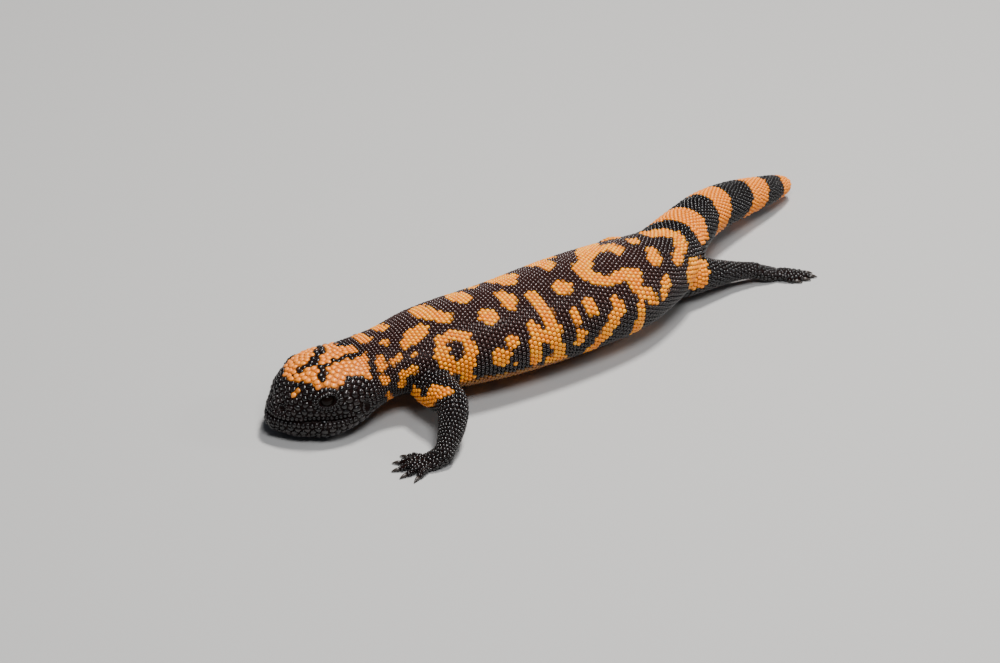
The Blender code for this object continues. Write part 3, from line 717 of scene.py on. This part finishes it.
firstFree = len(points)
points, pitches = filled(points, pitches, coatPlan["freeRoom"])
for turn in range(coatPlan["moves"]):
    index = neighboursOf(points, 7)[firstFree:]
    mine, minePitch = points[firstFree:], pitches[firstFree:, None]
    off = mine[:, None] - points[index]
    gap = np.linalg.norm(off, axis=-1)
    wanted = 0.5 * (minePitch + pitches[index]) * coatPlan["spread"]
    push = np.clip(1 - gap / wanted, 0, 1)[..., None] * off / np.maximum(gap, 1e-6)[..., None]
    points[firstFree:] = onSkin(mine + push.sum(1) * minePitch * coatPlan["push"])[0]
keep = notCrowded(points, pitches, coatPlan["movedRoom"])
for sign in (1, -1):  # nostrils and ears stay open
    nostrilGap, earGap = holeGaps(points, sign)
    keep &= (nostrilGap > coatPlan["holeKeep"][0]) & (earGap > coatPlan["holeKeep"][1])
points, pitches = filled(points[keep], pitches[keep], coatPlan["lastRoom"])
points, normals, gaps = onSkin(points)
region, along, around = belongs(points)
print("scales", len(points))

# markings, drawn as strokes: distance from the snout, arc to the left of the back's middle, half width
marks = {
    "headTop": [(20, -10), (21, 0), (23, 5), (25.5, 10), (27, 15), (30, 17.5), (34, 20), (38, 22.5), (42, 22),
                (44, 19), (46.5, 17), (50, 18), (53, 19.5), (57, 22.5), (59.5, 24.5), (61, 22), (61, 15),
                (64.5, 12), (65.5, 8), (64, 3), (63, -4), (60, -8), (57, -9), (56, -14), (58, -20), (60, -27),
                (56, -31), (50, -26), (44, -23), (38, -26), (33, -24), (28, -20), (24, -15)],
    "orange": [
        # neck
        [(19, 9, 1.2)],
        [(60, -27, 3), (66, -31, 2.5), (71, -26, 2.5), (70, -16, 2), (70, -9, 3), (70, -3, 3.3)],
        [(82, -34, 4), (81, -22, 4), (82, -9, 3.5)],
        [(77, 5, 2.8)], [(70, 15, 2.2), (69, 19.5, 2.8)], [(80, 18, 2.5), (75, 20, 2)],
        [(66, 25, 1.8), (68, 29, 2.2)],
        [(79, 28, 2.8), (85, 29, 2.4)], [(77, 33, 2.4), (77, 37, 2)], [(67, 37, 1.3), (70, 45, 1.6), (74, 58, 2)],
        [(88.5, 21, 1.9)], [(87, 12, 3.5), (93, 9, 5), (98, 7, 5)],
        # back and near flank, with the ring behind the shoulder
        [(108, -17, 5), (106, -9, 6), (110, -1, 5), (114, 4, 5)],
        [(102, 28, 4.2), (105, 20, 3.8), (112, 17.5, 3.2), (119, 22, 3.8), (119, 31, 3.8), (116, 39, 4.5),
         (108, 38, 3.8), (102.5, 31, 3.8)],
        [(115, 40, 4), (116, 50, 4), (113, 62, 5)],
        [(133, -26, 4), (132, -16, 6), (132, -10, 6)],
        [(137.5, 13.5, 6)],
        [(136, 40.5, 5.5)], [(144, 33, 4)], [(145, 48, 1.6)],
        [(154, -2, 3), (155, 4, 5), (154, 10, 4), (153, 14, 2)],
        [(168, 8, 3.5), (169, 15, 4), (169, 22, 3), (170, 29, 4), (169, 36, 4.5), (169, 44, 3.5), (171, 50, 4.5),
         (172, 58, 5)],
        [(158, 29, 3), (159, 36, 4.5), (165, 36, 4.5)], [(158, 36, 4), (156, 44, 3.5), (157, 51, 4), (164, 57, 4)],
        [(165, -34, 7), (167, -18, 8), (166, -12, 5)],
        [(188, 11.5, 6)],
        [(185, 29, 2.6), (184.5, 35, 3)], [(196, 27, 3.5), (196, 33, 3.6)], [(186, 44, 3.5), (184, 48, 3)],
        [(194, -30, 5), (194, -18, 5.5), (193, -11, 4)],
        # loin and rump
        [(235, -26, 7), (222, -13, 6), (216, -6, 4.5), (208, 1, 5), (206, 8, 5), (210, 15, 5), (212, 18, 4),
         (220, 18.5, 4), (228, 18, 5), (232, 21, 4.5), (229, 28, 3.5), (229, 33, 3.5)],
        [(233, 34, 3.8), (235, 40, 3.5)],
        [(222, -13, 6), (230, -12, 5), (238, -10, 5), (239, -3, 4.2), (236, 0, 2.2)],
        [(228.5, 38, 2.6), (227, 47, 2.5), (225, 58, 3.6)],
        [(212, 31, 2), (213, 37, 4), (208, 42, 4.5), (204, 48, 4), (199, 53, 4), (194, 62, 5)],
        [(256, -7, 4.2)],
        [(255, 9, 3.5), (252, 14, 5), (249, 18, 3)],
        [(275, -12, 4), (273, -5, 4.5), (279.5, -2, 5.4), (282, 4, 4.6), (282, 9, 4.4), (277, 14, 4),
         (270, 18, 3.5), (264, 22, 2.5)],
        [(251, 28, 2), (247, 33, 2.6), (243, 39, 2)],
        # the far flank, finished the same way
        [(92, -40, 4), (98, -33, 3.5)], [(112, -34, 5), (118, -42, 4.5), (113, -52, 4)],
        [(128, -40, 4), (133, -48, 4)], [(148, -24, 4), (146, -31, 3)], [(148, -46, 4.5), (154, -54, 4)],
        [(164, -44, 5), (172, -52, 5), (168, -60, 4)], [(182, -36, 4.5)], [(186, -50, 4), (192, -58, 4)],
        [(204, -26, 4), (207, -35, 4.5), (204, -46, 4), (210, -54, 4)], [(222, -40, 4.5), (226, -50, 4)],
        [(243, -32, 5), (240, -42, 4), (246, -50, 4)], [(258, -24, 4), (262, -33, 3.5)], [(256, -44, 3.5)],
        [(276, -24, 3.5), (272, -34, 3.5)], [(290, -30, 3), (286, -40, 3)],
        # the near hip
        [(282, 30, 3), (275, 28.5, 4), (272, 34, 5.5), (274, 41, 4.5)],
    ],
    "black": [
        [(23, -2, 1.6), (26, -2, 2), (30, -2, 2.1), (35, -2, 2.4), (39, -7, 2.8), (44, -11, 3.1), (47, -17, 2.8),
         (50, -24, 2.4), (52, -32, 2.4)],
        [(33, 14, 2.9), (34.5, 11, 2.8), (36.5, 7, 2.5), (38.5, 4.5, 2), (42, 5, 1.4), (46, 3, 2), (51, 3, 2.1),
         (56, 3.4, 2.1), (61, 5.4, 2.3), (65, 5, 2.6)],
        [(110.5, 25.5, 3.7), (111, 31, 3.7)],
        [(161.5, 44, 2.2), (162, 50, 2.6), (161, 57, 2.4)],
    ],
    # brownish folded skin low on the near flank
    "fold": [(110, 56, 5.5), (124, 57.5, 6.5), (138, 59, 6), (155, 60.5, 5), (178, 63, 3.5)],
    "foldOrange": 0.3,
    "bands": [(298, 315.5), (336, 352), (375, 391.5), (408, 425)],
    "bandLean": (0.0125, 26),  # the bands bend back to the sides, up to this arc
    "firstBandEnd": 23,  # arc to the left where the first band stops
    "legs": {"frontLeft": [[(12, 2, 5), (19, 3, 6.5), (25, -0.5, 6.5), (30, -6, 5.5), (35, -13, 3)]],
             "frontRight": [[(20, -20, 5), (20, 20, 5)]],
             "hindLeft": [[(15.5, -24, 10.5), (15.5, 11, 10.5)]],
             "hindRight": [[(27, -30, 7), (27, 30, 7)]]},
    "legHoles": {"frontLeft": [[(20, -9, 2.5), (22, -3.5, 2.3)]]},
    "bellyFrom": 0.66,  # share of the half round where the belly's large blotches begin
    "sharpen": 2.2,  # scales on an edge are pushed to one colour
}


def toStroke(s, w, stroke):  # signed distance to a stroke of changing width
    best = np.full(len(s), 99.0)
    ends = stroke if len(stroke) > 1 else stroke * 2
    for (s0, w0, r0), (s1, w1, r1) in zip(ends, ends[1:]):
        ds, dw = s1 - s0, w1 - w0
        t = np.clip(((s - s0) * ds + (w - w0) * dw) / max(ds * ds + dw * dw, 1e-9), 0, 1)
        best = np.minimum(best, np.hypot(s - s0 - ds * t, w - w0 - dw * t) - (r0 + (r1 - r0) * t))
    return best


def toOutline(s, w, corners):  # signed distance to a closed outline, negative inside
    best, inside = np.full(len(s), 99.0), np.zeros(len(s), bool)
    for (s0, w0), (s1, w1) in zip(corners, corners[1:] + corners[:1]):
        ds, dw = s1 - s0, w1 - w0
        t = np.clip(((s - s0) * ds + (w - w0) * dw) / (ds * ds + dw * dw), 0, 1)
        best = np.minimum(best, np.hypot(s - s0 - ds * t, w - w0 - dw * t))
        cross = (w0 > w) != (w1 > w)
        inside ^= cross & (s < s0 + ds * (w - w0) / (dw if dw else 1e-9))
    return np.where(inside, -best, best)


def wobble(points, scale, seed):  # smooth unevenness from a few slanted waves
    found = np.zeros(len(points))
    ways = np.random.default_rng(seed).normal(size=(6, 3)) / scale
    for k, way in enumerate(ways):
        found += np.sin(points @ way * 2 * np.pi + k * 1.7)
    return found / 6 ** 0.5


def orangeAt(points, region, along, around):  # 1 on an orange mark, 0 on black
    edge = wobble(points, 14, 3) * 0.5 + wobble(points, 6, 4) * 0.35
    best = toOutline(along, around, marks["headTop"])
    for stroke in marks["orange"]:
        best = np.minimum(best, toStroke(along, around, stroke))
    for stroke in marks["black"]:
        best = np.maximum(best, -toStroke(along, around, stroke))
    bend, most = marks["bandLean"]
    leaned = along + bend * np.minimum(np.abs(around), most) ** 2
    for k, (start, end) in enumerate(marks["bands"]):
        band = np.abs(leaned - (start + end) / 2) - (end - start) / 2
        best = np.minimum(best, band if k else np.maximum(band, around - marks["firstBandEnd"]))
    belly = (wobble(points, 46, 8) + 0.35 * wobble(points, 20, 9)) * -6 + 1.0
    share = ramp(np.abs(around) / halfRound(along), marks["bellyFrom"], 0.08)
    share = share * ramp(along, 62, 10) * ramp(-along, -300, 12)
    best = best * (1 - share) + belly * share
    for k, name in enumerate(legs, 1):
        mark = np.min([toStroke(along, around, stroke) for stroke in marks["legs"][name]], 0)
        for stroke in marks["legHoles"].get(name, []):
            mark = np.maximum(mark, -toStroke(along, around, stroke))
        best = np.where(region == k, mark, best)
    fold = np.clip(0.5 - (toStroke(along, around, marks["fold"]) + edge), 0, 1) * (region == 0)
    return np.clip(0.5 - (best + edge), 0, 1) * (1 - fold) + marks["foldOrange"] * fold


def glossAt(region, along, around):  # 1 where the dark scales are glossy black, 0 on the brown of the back
    head = ramp(-along, -70, 12)
    low = ramp(np.abs(around) / halfRound(along), 0.33, 0.2)
    tail = ramp(along, 240, 40)
    return np.where(region > 0, 1, np.maximum(np.maximum(head, low), tail))


def pinkAt(region, along):  # the head's orange is pinker than the body's
    return np.where(region == 0, ramp(-along, -88, 30) * 0.75, 0)


orange = orangeAt(points, region, along, around)
onEdge = (np.abs(orange - 0.5) < 0.5) & ~((region == 0) & (toStroke(along, around, marks["fold"]) < 0.5))
orange = np.where(onEdge, np.clip((orange - 0.5) * marks["sharpen"] + 0.5, 0, 1), orange)
skinRegion, skinAlong, skinAround = belongs(skinPoints)
skinOrange = orangeAt(skinPoints, skinRegion, skinAlong, skinAround)
skinGloss = glossAt(skinRegion, skinAlong, skinAround)
gloss = glossAt(region, along, around)
pink = pinkAt(region, along)
print("markings laid out")

# scale shapes: each outline is drawn between its neighbours
bead = {
    "sides": 8,
    "domed": [(1.0, None), (0.97, 0.25), (0.79, 0.64), (0.43, 0.91)],  # shares of the reach and of the height
    "plated": [(1.0, None), (0.96, 0.42), (0.84, 0.84), (0.46, 0.98)],
    "root": 0.35,  # the lowest ring lies this deep in the skin
    "roundness": 9,
    "mostReach": 0.74,  # in pitches
    "gap": (0.06, 0.03),  # least share left between scales, and how much it varies
    "rise": 0.86,  # height as a share of the reach
    "headRise": ([0.2, 0.45], [0.52, 0.7]),
    "bellyRise": 0.26, "bellyFrom": 0.7,
    "legRise": ([30, 60, 80], [0.85, 0.8, 0.6]),
    "riseVary": 0.08, "mostHeight": 1.2,
    "lean": 0.05,
    "legVary": 0.55, "tailVary": 0.15,  # how much the colour varies from scale to scale
    "bakeRings": (1.0, 0.84, 0.6, 0.32), "bakeSize": 0.0015,
}
sides = bead["sides"]
index = neighboursOf(points, 10)
anyWay = np.where(np.abs(normals[:, 2:]) < 0.9, np.array([[0.0, 0, 1]]), np.array([[0.0, 1, 0]]))
flatX = unit(np.cross(anyWay, normals))
flatY = np.cross(normals, flatX)
off = points[index] - points[:, None]
facing = (normals[index] * normals[:, None]).sum(-1)
toward = np.arctan2((off * flatY[:, None]).sum(-1), (off * flatX[:, None]).sum(-1))
limit = np.linalg.norm(off, axis=-1) * pitches[:, None] / (pitches[:, None] + pitches[index])
limit = np.where(facing > -0.2, limit, 9)
phase = draws.random(len(points)) * 2 * np.pi / sides
turns = phase[:, None] + np.arange(sides)[None] * 2 * np.pi / sides
push = np.clip(np.cos(turns[:, :, None] - toward[:, None, :]), 0, None) / limit[:, None, :]
reach = 1 / np.maximum((push ** bead["roundness"]).sum(-1) ** (1 / bead["roundness"]), 1e-6)
reach = np.minimum(reach, bead["mostReach"] * pitches[:, None])
reach *= 1 - bead["gap"][0] - bead["gap"][1] * draws.random((len(points), 1))

share = np.abs(around) / halfRound(along)
isBelly = (region == 0) & (share > bead["bellyFrom"])
isHead = (region == 0) & (along < coatPlan["headEnd"])
rise = np.where(isHead, np.interp(share, *bead["headRise"]), bead["rise"])
rise = np.where(isBelly, bead["bellyRise"], rise)
rise = np.where(region > 0, np.interp(along, *bead["legRise"]), rise)
height = reach.mean(1) * rise * (1 + bead["riseVary"] * draws.normal(size=len(points)).clip(-1.5, 1.5))
height = np.minimum(height, bead["mostHeight"])
trunkVary = np.where(along > 290, bead["tailVary"], 1)
vary = draws.random(len(points)) * np.where(region > 0, bead["legVary"], trunkVary)
lean = draws.normal(size=(len(points), 2)) * bead["lean"]

# the skin unrolled for baking, each limb in its own corner of the sheet
u = np.where(region == 0, 0.2 + around / 560, 0.62 + 0.2 * ((region - 1) % 2) + around / 560)
v = np.where(region == 0, 0.1 + along / 560, 0.12 + 0.42 * ((region - 1) // 2) + along / 400)
rootPlace = np.stack([u, v], -1)


def setAttributes(made, values, repeat=1):
    for key, column in values.items():
        data = np.repeat(column, repeat).astype(np.float32)
        made.attributes.new(key, "FLOAT", "POINT").data.foreach_set("value", data)


def scalePiece(name, chosen):
    chosen = np.nonzero(chosen)[0]
    n = len(chosen)
    ringCount = len(bead["domed"])
    step = ringCount * sides + 1
    verts, dome, uvs = np.zeros((n, step, 3)), np.zeros((n, step)), np.zeros((n, step, 2))
    p, fx, fy = points[chosen], flatX[chosen], flatY[chosen]
    outline, tall = reach[chosen], height[chosen]
    tilt = unit(normals[chosen] + fx * lean[chosen, :1] + fy * lean[chosen, 1:])
    roundWay = np.stack([np.cos(turns[chosen]), np.sin(turns[chosen])], -1)
    ways = roundWay[..., :1] * fx[:, None] + roundWay[..., 1:] * fy[:, None]
    disc = (outline / outline.max(1, keepdims=True))[..., None] * roundWay
    for k, (rounded, plate) in enumerate(zip(bead["domed"], bead["plated"])):
        ring = slice(k * sides, (k + 1) * sides)
        share = np.where(isBelly[chosen], plate[0], rounded[0])[:, None, None]
        part = np.where(isBelly[chosen], plate[1], rounded[1]) if k else np.zeros(n)
        lift = part * tall if k else np.full(n, -bead["root"])
        verts[:, ring] = p[:, None] + ways * (outline[..., None] * share) + tilt[:, None] * lift[:, None, None]
        dome[:, ring] = part[:, None]
        uvs[:, ring] = rootPlace[chosen][:, None] + disc * bead["bakeRings"][k] * bead["bakeSize"]
    verts[:, -1] = p + tilt * tall[:, None]
    dome[:, -1] = 1
    uvs[:, -1] = rootPlace[chosen]
    verts[..., 2] = np.maximum(verts[..., 2], 0.02)
    one = [tuple(range(sides))[::-1]]
    for k in range(0, (ringCount - 1) * sides, sides):
        for j in range(sides):
            after = (j + 1) % sides
            one.append((k + j, k + after, k + sides + after, k + sides + j))
    last = (ringCount - 1) * sides
    one += [(last + j, last + (j + 1) % sides, ringCount * sides) for j in range(sides)]
    loops = (np.concatenate(one)[None] + (np.arange(n) * step)[:, None]).ravel()
    counts = np.tile([len(f) for f in one], n)
    made = bpy.data.meshes.new(name)
    made.vertices.add(n * step)
    made.vertices.foreach_set("co", toFrame(verts.reshape(-1, 3)).astype(np.float32).ravel())
    made.loops.add(len(loops))
    made.loops.foreach_set("vertex_index", loops.astype(np.int32))
    made.polygons.add(len(counts))
    made.polygons.foreach_set("loop_start", np.concatenate([[0], np.cumsum(counts)[:-1]]).astype(np.int32))
    made.polygons.foreach_set("use_smooth", np.ones(len(counts), bool))
    made.update(calc_edges=True)
    made.validate()
    setAttributes(made, {"orange": orange[chosen], "vary": vary[chosen], "gloss": gloss[chosen],
                         "pink": pink[chosen]}, step)
    setAttributes(made, {"dome": dome.ravel()})
    layer = made.uv_layers.new(name="OFBake")
    layer.data.foreach_set("uv", uvs.reshape(-1, 2)[loops].astype(np.float32).ravel())
    piece = bpy.data.objects.new(name, made)
    bpy.context.scene.collection.objects.link(piece)
    print(name, n)
    return piece


def node(tree, kind, x, y, **values):
    made = tree.nodes.new(kind)
    made.location = (x, y)
    for key, value in values.items():
        setattr(made, key, value)
    return made


def feed(tree, socket, value):  # a link or a fixed value
    if isinstance(value, bpy.types.NodeSocket):
        tree.links.new(value, socket)
    else:
        socket.default_value = value


def mixOf(tree, share, a, b, x, y):  # a mix of two colours
    made = node(tree, "ShaderNodeMix", x, y, data_type="RGBA", blend_type="MIX")
    for k, value in ((0, share), (6, a), (7, b)):
        feed(tree, made.inputs[k], value)
    return made.outputs[2]


def mathOf(tree, operation, values, x, y, clamp=False):
    made = node(tree, "ShaderNodeMath", x, y, operation=operation, use_clamp=clamp)
    for socket, value in zip(made.inputs, values):
        feed(tree, socket, value)
    return made.outputs[0]


hideLook = {
    "orangeDeep": (0.84, 0.19, 0.0, 1), "orangeLight": (1.0, 0.45, 0.0, 1), "pink": (0.9, 0.24, 0.02, 1),
    "brown": (0.034, 0.011, 0.008, 1), "black": (0.0035, 0.0028, 0.003, 1), "dust": (0.05, 0.028, 0.026, 1),
    "skinDark": (0.010, 0.0045, 0.004, 1), "skinOrange": (0.42, 0.12, 0.01, 1),
    "fineScale": 1400, "broadScale": 60,
    "lightByScale": 0.6, "lightByGrain": 0.4, "dustShare": 0.45,
    "rimSharpness": 3.2,
    "roughness": 0.15, "roughByGrain": 0.12, "roughOnOrange": 0.07,
    "bumpStrength": 0.6,
}
hideInputs = {"orange": "NodeSocketFloat", "vary": "NodeSocketFloat", "gloss": "NodeSocketFloat",
              "dome": "NodeSocketFloat", "pink": "NodeSocketFloat", "place": "NodeSocketVector"}
hideOutputs = {"Color": "NodeSocketColor", "Roughness": "NodeSocketFloat", "Height": "NodeSocketFloat"}


def hideGroup():
    tree = bpy.data.node_groups.new("hide pattern", "ShaderNodeTree")
    for way, sockets in (("INPUT", hideInputs), ("OUTPUT", hideOutputs)):
        for name, kind in sockets.items():
            tree.interface.new_socket(name, in_out=way, socket_type=kind)
    inlet, outlet = node(tree, "NodeGroupInput", -1200, 0).outputs, node(tree, "NodeGroupOutput", 900, 0)
    fine = node(tree, "ShaderNodeTexNoise", -900, -300)
    fine.inputs["Scale"].default_value = hideLook["fineScale"]
    fine.inputs["Detail"].default_value = 3
    broad = node(tree, "ShaderNodeTexNoise", -900, -600)
    broad.inputs["Scale"].default_value = hideLook["broadScale"]
    for noise in (fine, broad):
        tree.links.new(inlet["place"], noise.inputs["Vector"])
    grain = fine.outputs["Fac"]
    light = mathOf(tree, "MULTIPLY", (grain, hideLook["lightByGrain"]), -700, 0)
    light = mathOf(tree, "MULTIPLY_ADD", (inlet["vary"], hideLook["lightByScale"], light), -600, 200)
    warm = mixOf(tree, light, hideLook["orangeDeep"], hideLook["orangeLight"], -400, 300)
    warm = mixOf(tree, inlet["pink"], warm, hideLook["pink"], -200, 300)
    dark = mixOf(tree, inlet["gloss"], hideLook["brown"], hideLook["black"], -400, 0)
    dust = mathOf(tree, "MULTIPLY", (inlet["vary"], broad.outputs["Fac"]), -600, -500)
    dust = mathOf(tree, "MULTIPLY", (dust, hideLook["dustShare"]), -500, -100)
    dark = mixOf(tree, dust, dark, hideLook["dust"], -200, 0)
    top = mixOf(tree, inlet["orange"], dark, warm, 100, 200)
    root = mixOf(tree, inlet["orange"], hideLook["skinDark"], hideLook["skinOrange"], 100, 0)
    rim = mathOf(tree, "MULTIPLY", (inlet["dome"], hideLook["rimSharpness"]), 100, -200, clamp=True)
    rough = mathOf(tree, "MULTIPLY_ADD", (grain, hideLook["roughByGrain"], hideLook["roughness"]), 0, -400)
    rough = mathOf(tree, "MULTIPLY_ADD", (inlet["orange"], hideLook["roughOnOrange"], rough), 200, -300)
    tree.links.new(mixOf(tree, rim, root, top, 400, 200), outlet.inputs["Color"])
    tree.links.new(rough, outlet.inputs["Roughness"])
    tree.links.new(grain, outlet.inputs["Height"])
    return tree


hideTree = hideGroup()


def hideMaterial(name, bump, shine):
    made = bpy.data.materials.new(name)
    made.use_nodes = True
    tree = made.node_tree
    shader = tree.nodes["Principled BSDF"]
    group = node(tree, "ShaderNodeGroup", -400, 0, node_tree=hideTree)
    for k, key in enumerate(("orange", "vary", "gloss", "dome", "pink")):
        reader = node(tree, "ShaderNodeAttribute", -700, 200 - 200 * k, attribute_name=key)
        tree.links.new(reader.outputs["Fac"], group.inputs[key])
    where = node(tree, "ShaderNodeTexCoord", -700, -850)
    tree.links.new(where.outputs["Object"], group.inputs["place"])
    tree.links.new(group.outputs["Color"], shader.inputs["Base Color"])
    tree.links.new(group.outputs["Roughness"], shader.inputs["Roughness"])
    lift = node(tree, "ShaderNodeBump", -200, -300)
    lift.inputs["Distance"].default_value = bump * mm
    lift.inputs["Strength"].default_value = hideLook["bumpStrength"]
    tree.links.new(group.outputs["Height"], lift.inputs["Height"])
    tree.links.new(lift.outputs["Normal"], shader.inputs["Normal"])
    shader.inputs["Specular IOR Level"].default_value = shine
    return made


skinHide = hideMaterial("skinHide", 0.25, 0.06)
scaleHide = hideMaterial("scaleHide", 0.02, 0.5)
count = len(skinPoints)
setAttributes(skin.data, {"orange": skinOrange, "gloss": skinGloss, "vary": np.full(count, 0.4),
                          "dome": np.zeros(count), "pink": pinkAt(skinRegion, skinAlong)})
skin.data.materials.append(skinHide)

trunkParts = {"headScales": (-99, 62), "neckScales": (62, 100), "backScales": (100, 165), "loinScales": (165, 235),
              "hipScales": (235, 300), "tailScales": (300, 999)}  # from, to along the spine
coat = {name: (region == 0) & (along >= start) & (along < end) for name, (start, end) in trunkParts.items()}
for k, name in enumerate(legs, 1):
    coat[name + "Scales"] = region == k
pieces = [skin]
for name, chosen in coat.items():
    piece = scalePiece(name, chosen)
    piece.data.materials.append(scaleHide)
    pieces.append(piece)


def plainMaterial(name, look):
    made = bpy.data.materials.new(name)
    made.use_nodes = True
    for key, value in look.items():
        made.node_tree.nodes["Principled BSDF"].inputs[key].default_value = value
    return made


# eyes
eyeLook = {"Base Color": (0.006, 0.003, 0.002, 1), "Roughness": 0.1, "Specular IOR Level": 0.12}
eyeWet = plainMaterial("eyeWet", eyeLook)
eyes = []
for sign, label in ((1, "left"), (-1, "right")):
    centre, alongEye, upEye, out = eyeFrame(sign)
    bpy.ops.object.select_all(action="DESELECT")
    bpy.ops.mesh.primitive_uv_sphere_add(segments=48, ring_count=32, radius=face["eyeRadius"] * mm)
    eye = bpy.context.object
    eye.name = "eyeball_" + label
    turn = Matrix((alongEye, upEye, out)).transposed().to_4x4()
    eye.data.transform(Matrix.Translation(toFrame(centre)) @ turn)
    bpy.ops.object.shade_smooth()
    eye.data.materials.append(eyeWet)
    eyes.append(eye)
print("eyes set")

# claws
clawPlan = {
    "start": -0.4,  # behind the toe's end
    "knots": (0, 1.6, 3.2, 4.9),
    "arch": 0.55,
    "rows": [(0, 1.0), (0.8, 1.15), (2.2, 0.95), (3.6, 0.6), (foot["claw"] + 0.2, 0.2)],  # distance, radius
    "grain": (0.6, 12),
    "look": {"Base Color": (0.03, 0.022, 0.018, 1), "Roughness": 0.3},
}
clawMeshes = []
for leg in legs.values():
    for line in leg["toeLines"]:
        knuckle = line["length"] - foot["claw"]
        curve = []
        for t in clawPlan["knots"]:
            lift = (0, 0, clawPlan["arch"] * math.sin(t / foot["claw"] * math.pi))
            curve.append(frameAt(line, knuckle + clawPlan["start"] + t)[0] + lift)
        claw = lineOf(curve)
        clawMeshes.append(tube("claw", claw, clawPlan["rows"], (0, claw["length"]), clawPlan["grain"], 0))
claws = joined("claws", clawMeshes)
clawPoints = vertexValues(claws, "co")
clawPoints[:, 2] = np.maximum(clawPoints[:, 2], 0.0)
setCoordinates(claws, clawPoints)
bpy.ops.object.shade_smooth()
claws.data.materials.append(plainMaterial("clawHorn", clawPlan["look"]))
print("claws made", len(clawMeshes))

# what each piece stands for
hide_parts(*[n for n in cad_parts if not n.startswith("eye")])
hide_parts("eye_left")
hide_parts("eye_right")
for piece in pieces + eyes + [claws]:
    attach(piece, "root")

# floor, light and camera
stagePlan = {
    "floor": {"Base Color": (0.43, 0.425, 0.415, 1), "Roughness": 0.85},
    "air": {"Color": (0.78, 0.85, 1.0, 1), "Strength": 0.08},
    # place, size, power and colour; each lamp looks at the origin
    "lamps": {"keyLight": ((-0.1, 0.45, 1.75), 0.32, 52, (1, 0.98, 0.95)),
              "softBox": ((0.85, -0.35, 1.65), 0.6, 26, (0.97, 0.98, 1)),
              "rimLight": ((0.9, 1.4, 1.0), 0.3, 6, (1, 1, 1))},
    "camera": {"azimuth": 56, "elevation": 33, "distance": 3.27, "lens": 200, "aim": (0, 0, 0)},
}
bpy.ops.object.select_all(action="DESELECT")
bpy.ops.mesh.primitive_circle_add(vertices=96, radius=9, fill_type="NGON", location=(0, 0, 0))
floor = bpy.context.object
floor.name = "floor"
floor.data.materials.append(plainMaterial("paleFloor", stagePlan["floor"]))

world = bpy.data.worlds.new("studio")
world.use_nodes = True
for key, value in stagePlan["air"].items():
    world.node_tree.nodes["Background"].inputs[key].default_value = value
bpy.context.scene.world = world

for name, (place, size, power, colour) in stagePlan["lamps"].items():
    light = bpy.data.lights.new(name, "AREA")
    light.size = size
    light.energy = power
    light.color = colour
    lamp = bpy.data.objects.new(name, light)
    bpy.context.scene.collection.objects.link(lamp)
    lamp.location = place
    lamp.rotation_euler = (-Vector(place)).to_track_quat("-Z", "Y").to_euler()

view = stagePlan["camera"]
turn, tilt = math.radians(view["azimuth"]), math.radians(view["elevation"])
aim = Vector((-math.sin(turn) * math.cos(tilt), math.cos(turn) * math.cos(tilt), -math.sin(tilt)))
lens = bpy.data.cameras.new("camera")
lens.lens = view["lens"]
lens.sensor_width = 36
lens.clip_end = 50
camera = bpy.data.objects.new("camera", lens)
bpy.context.scene.collection.objects.link(camera)
camera.location = Vector(toFrame(view["aim"])) - aim * view["distance"]
camera.rotation_euler = aim.to_track_quat("-Z", "Y").to_euler()
bpy.context.scene.camera = camera
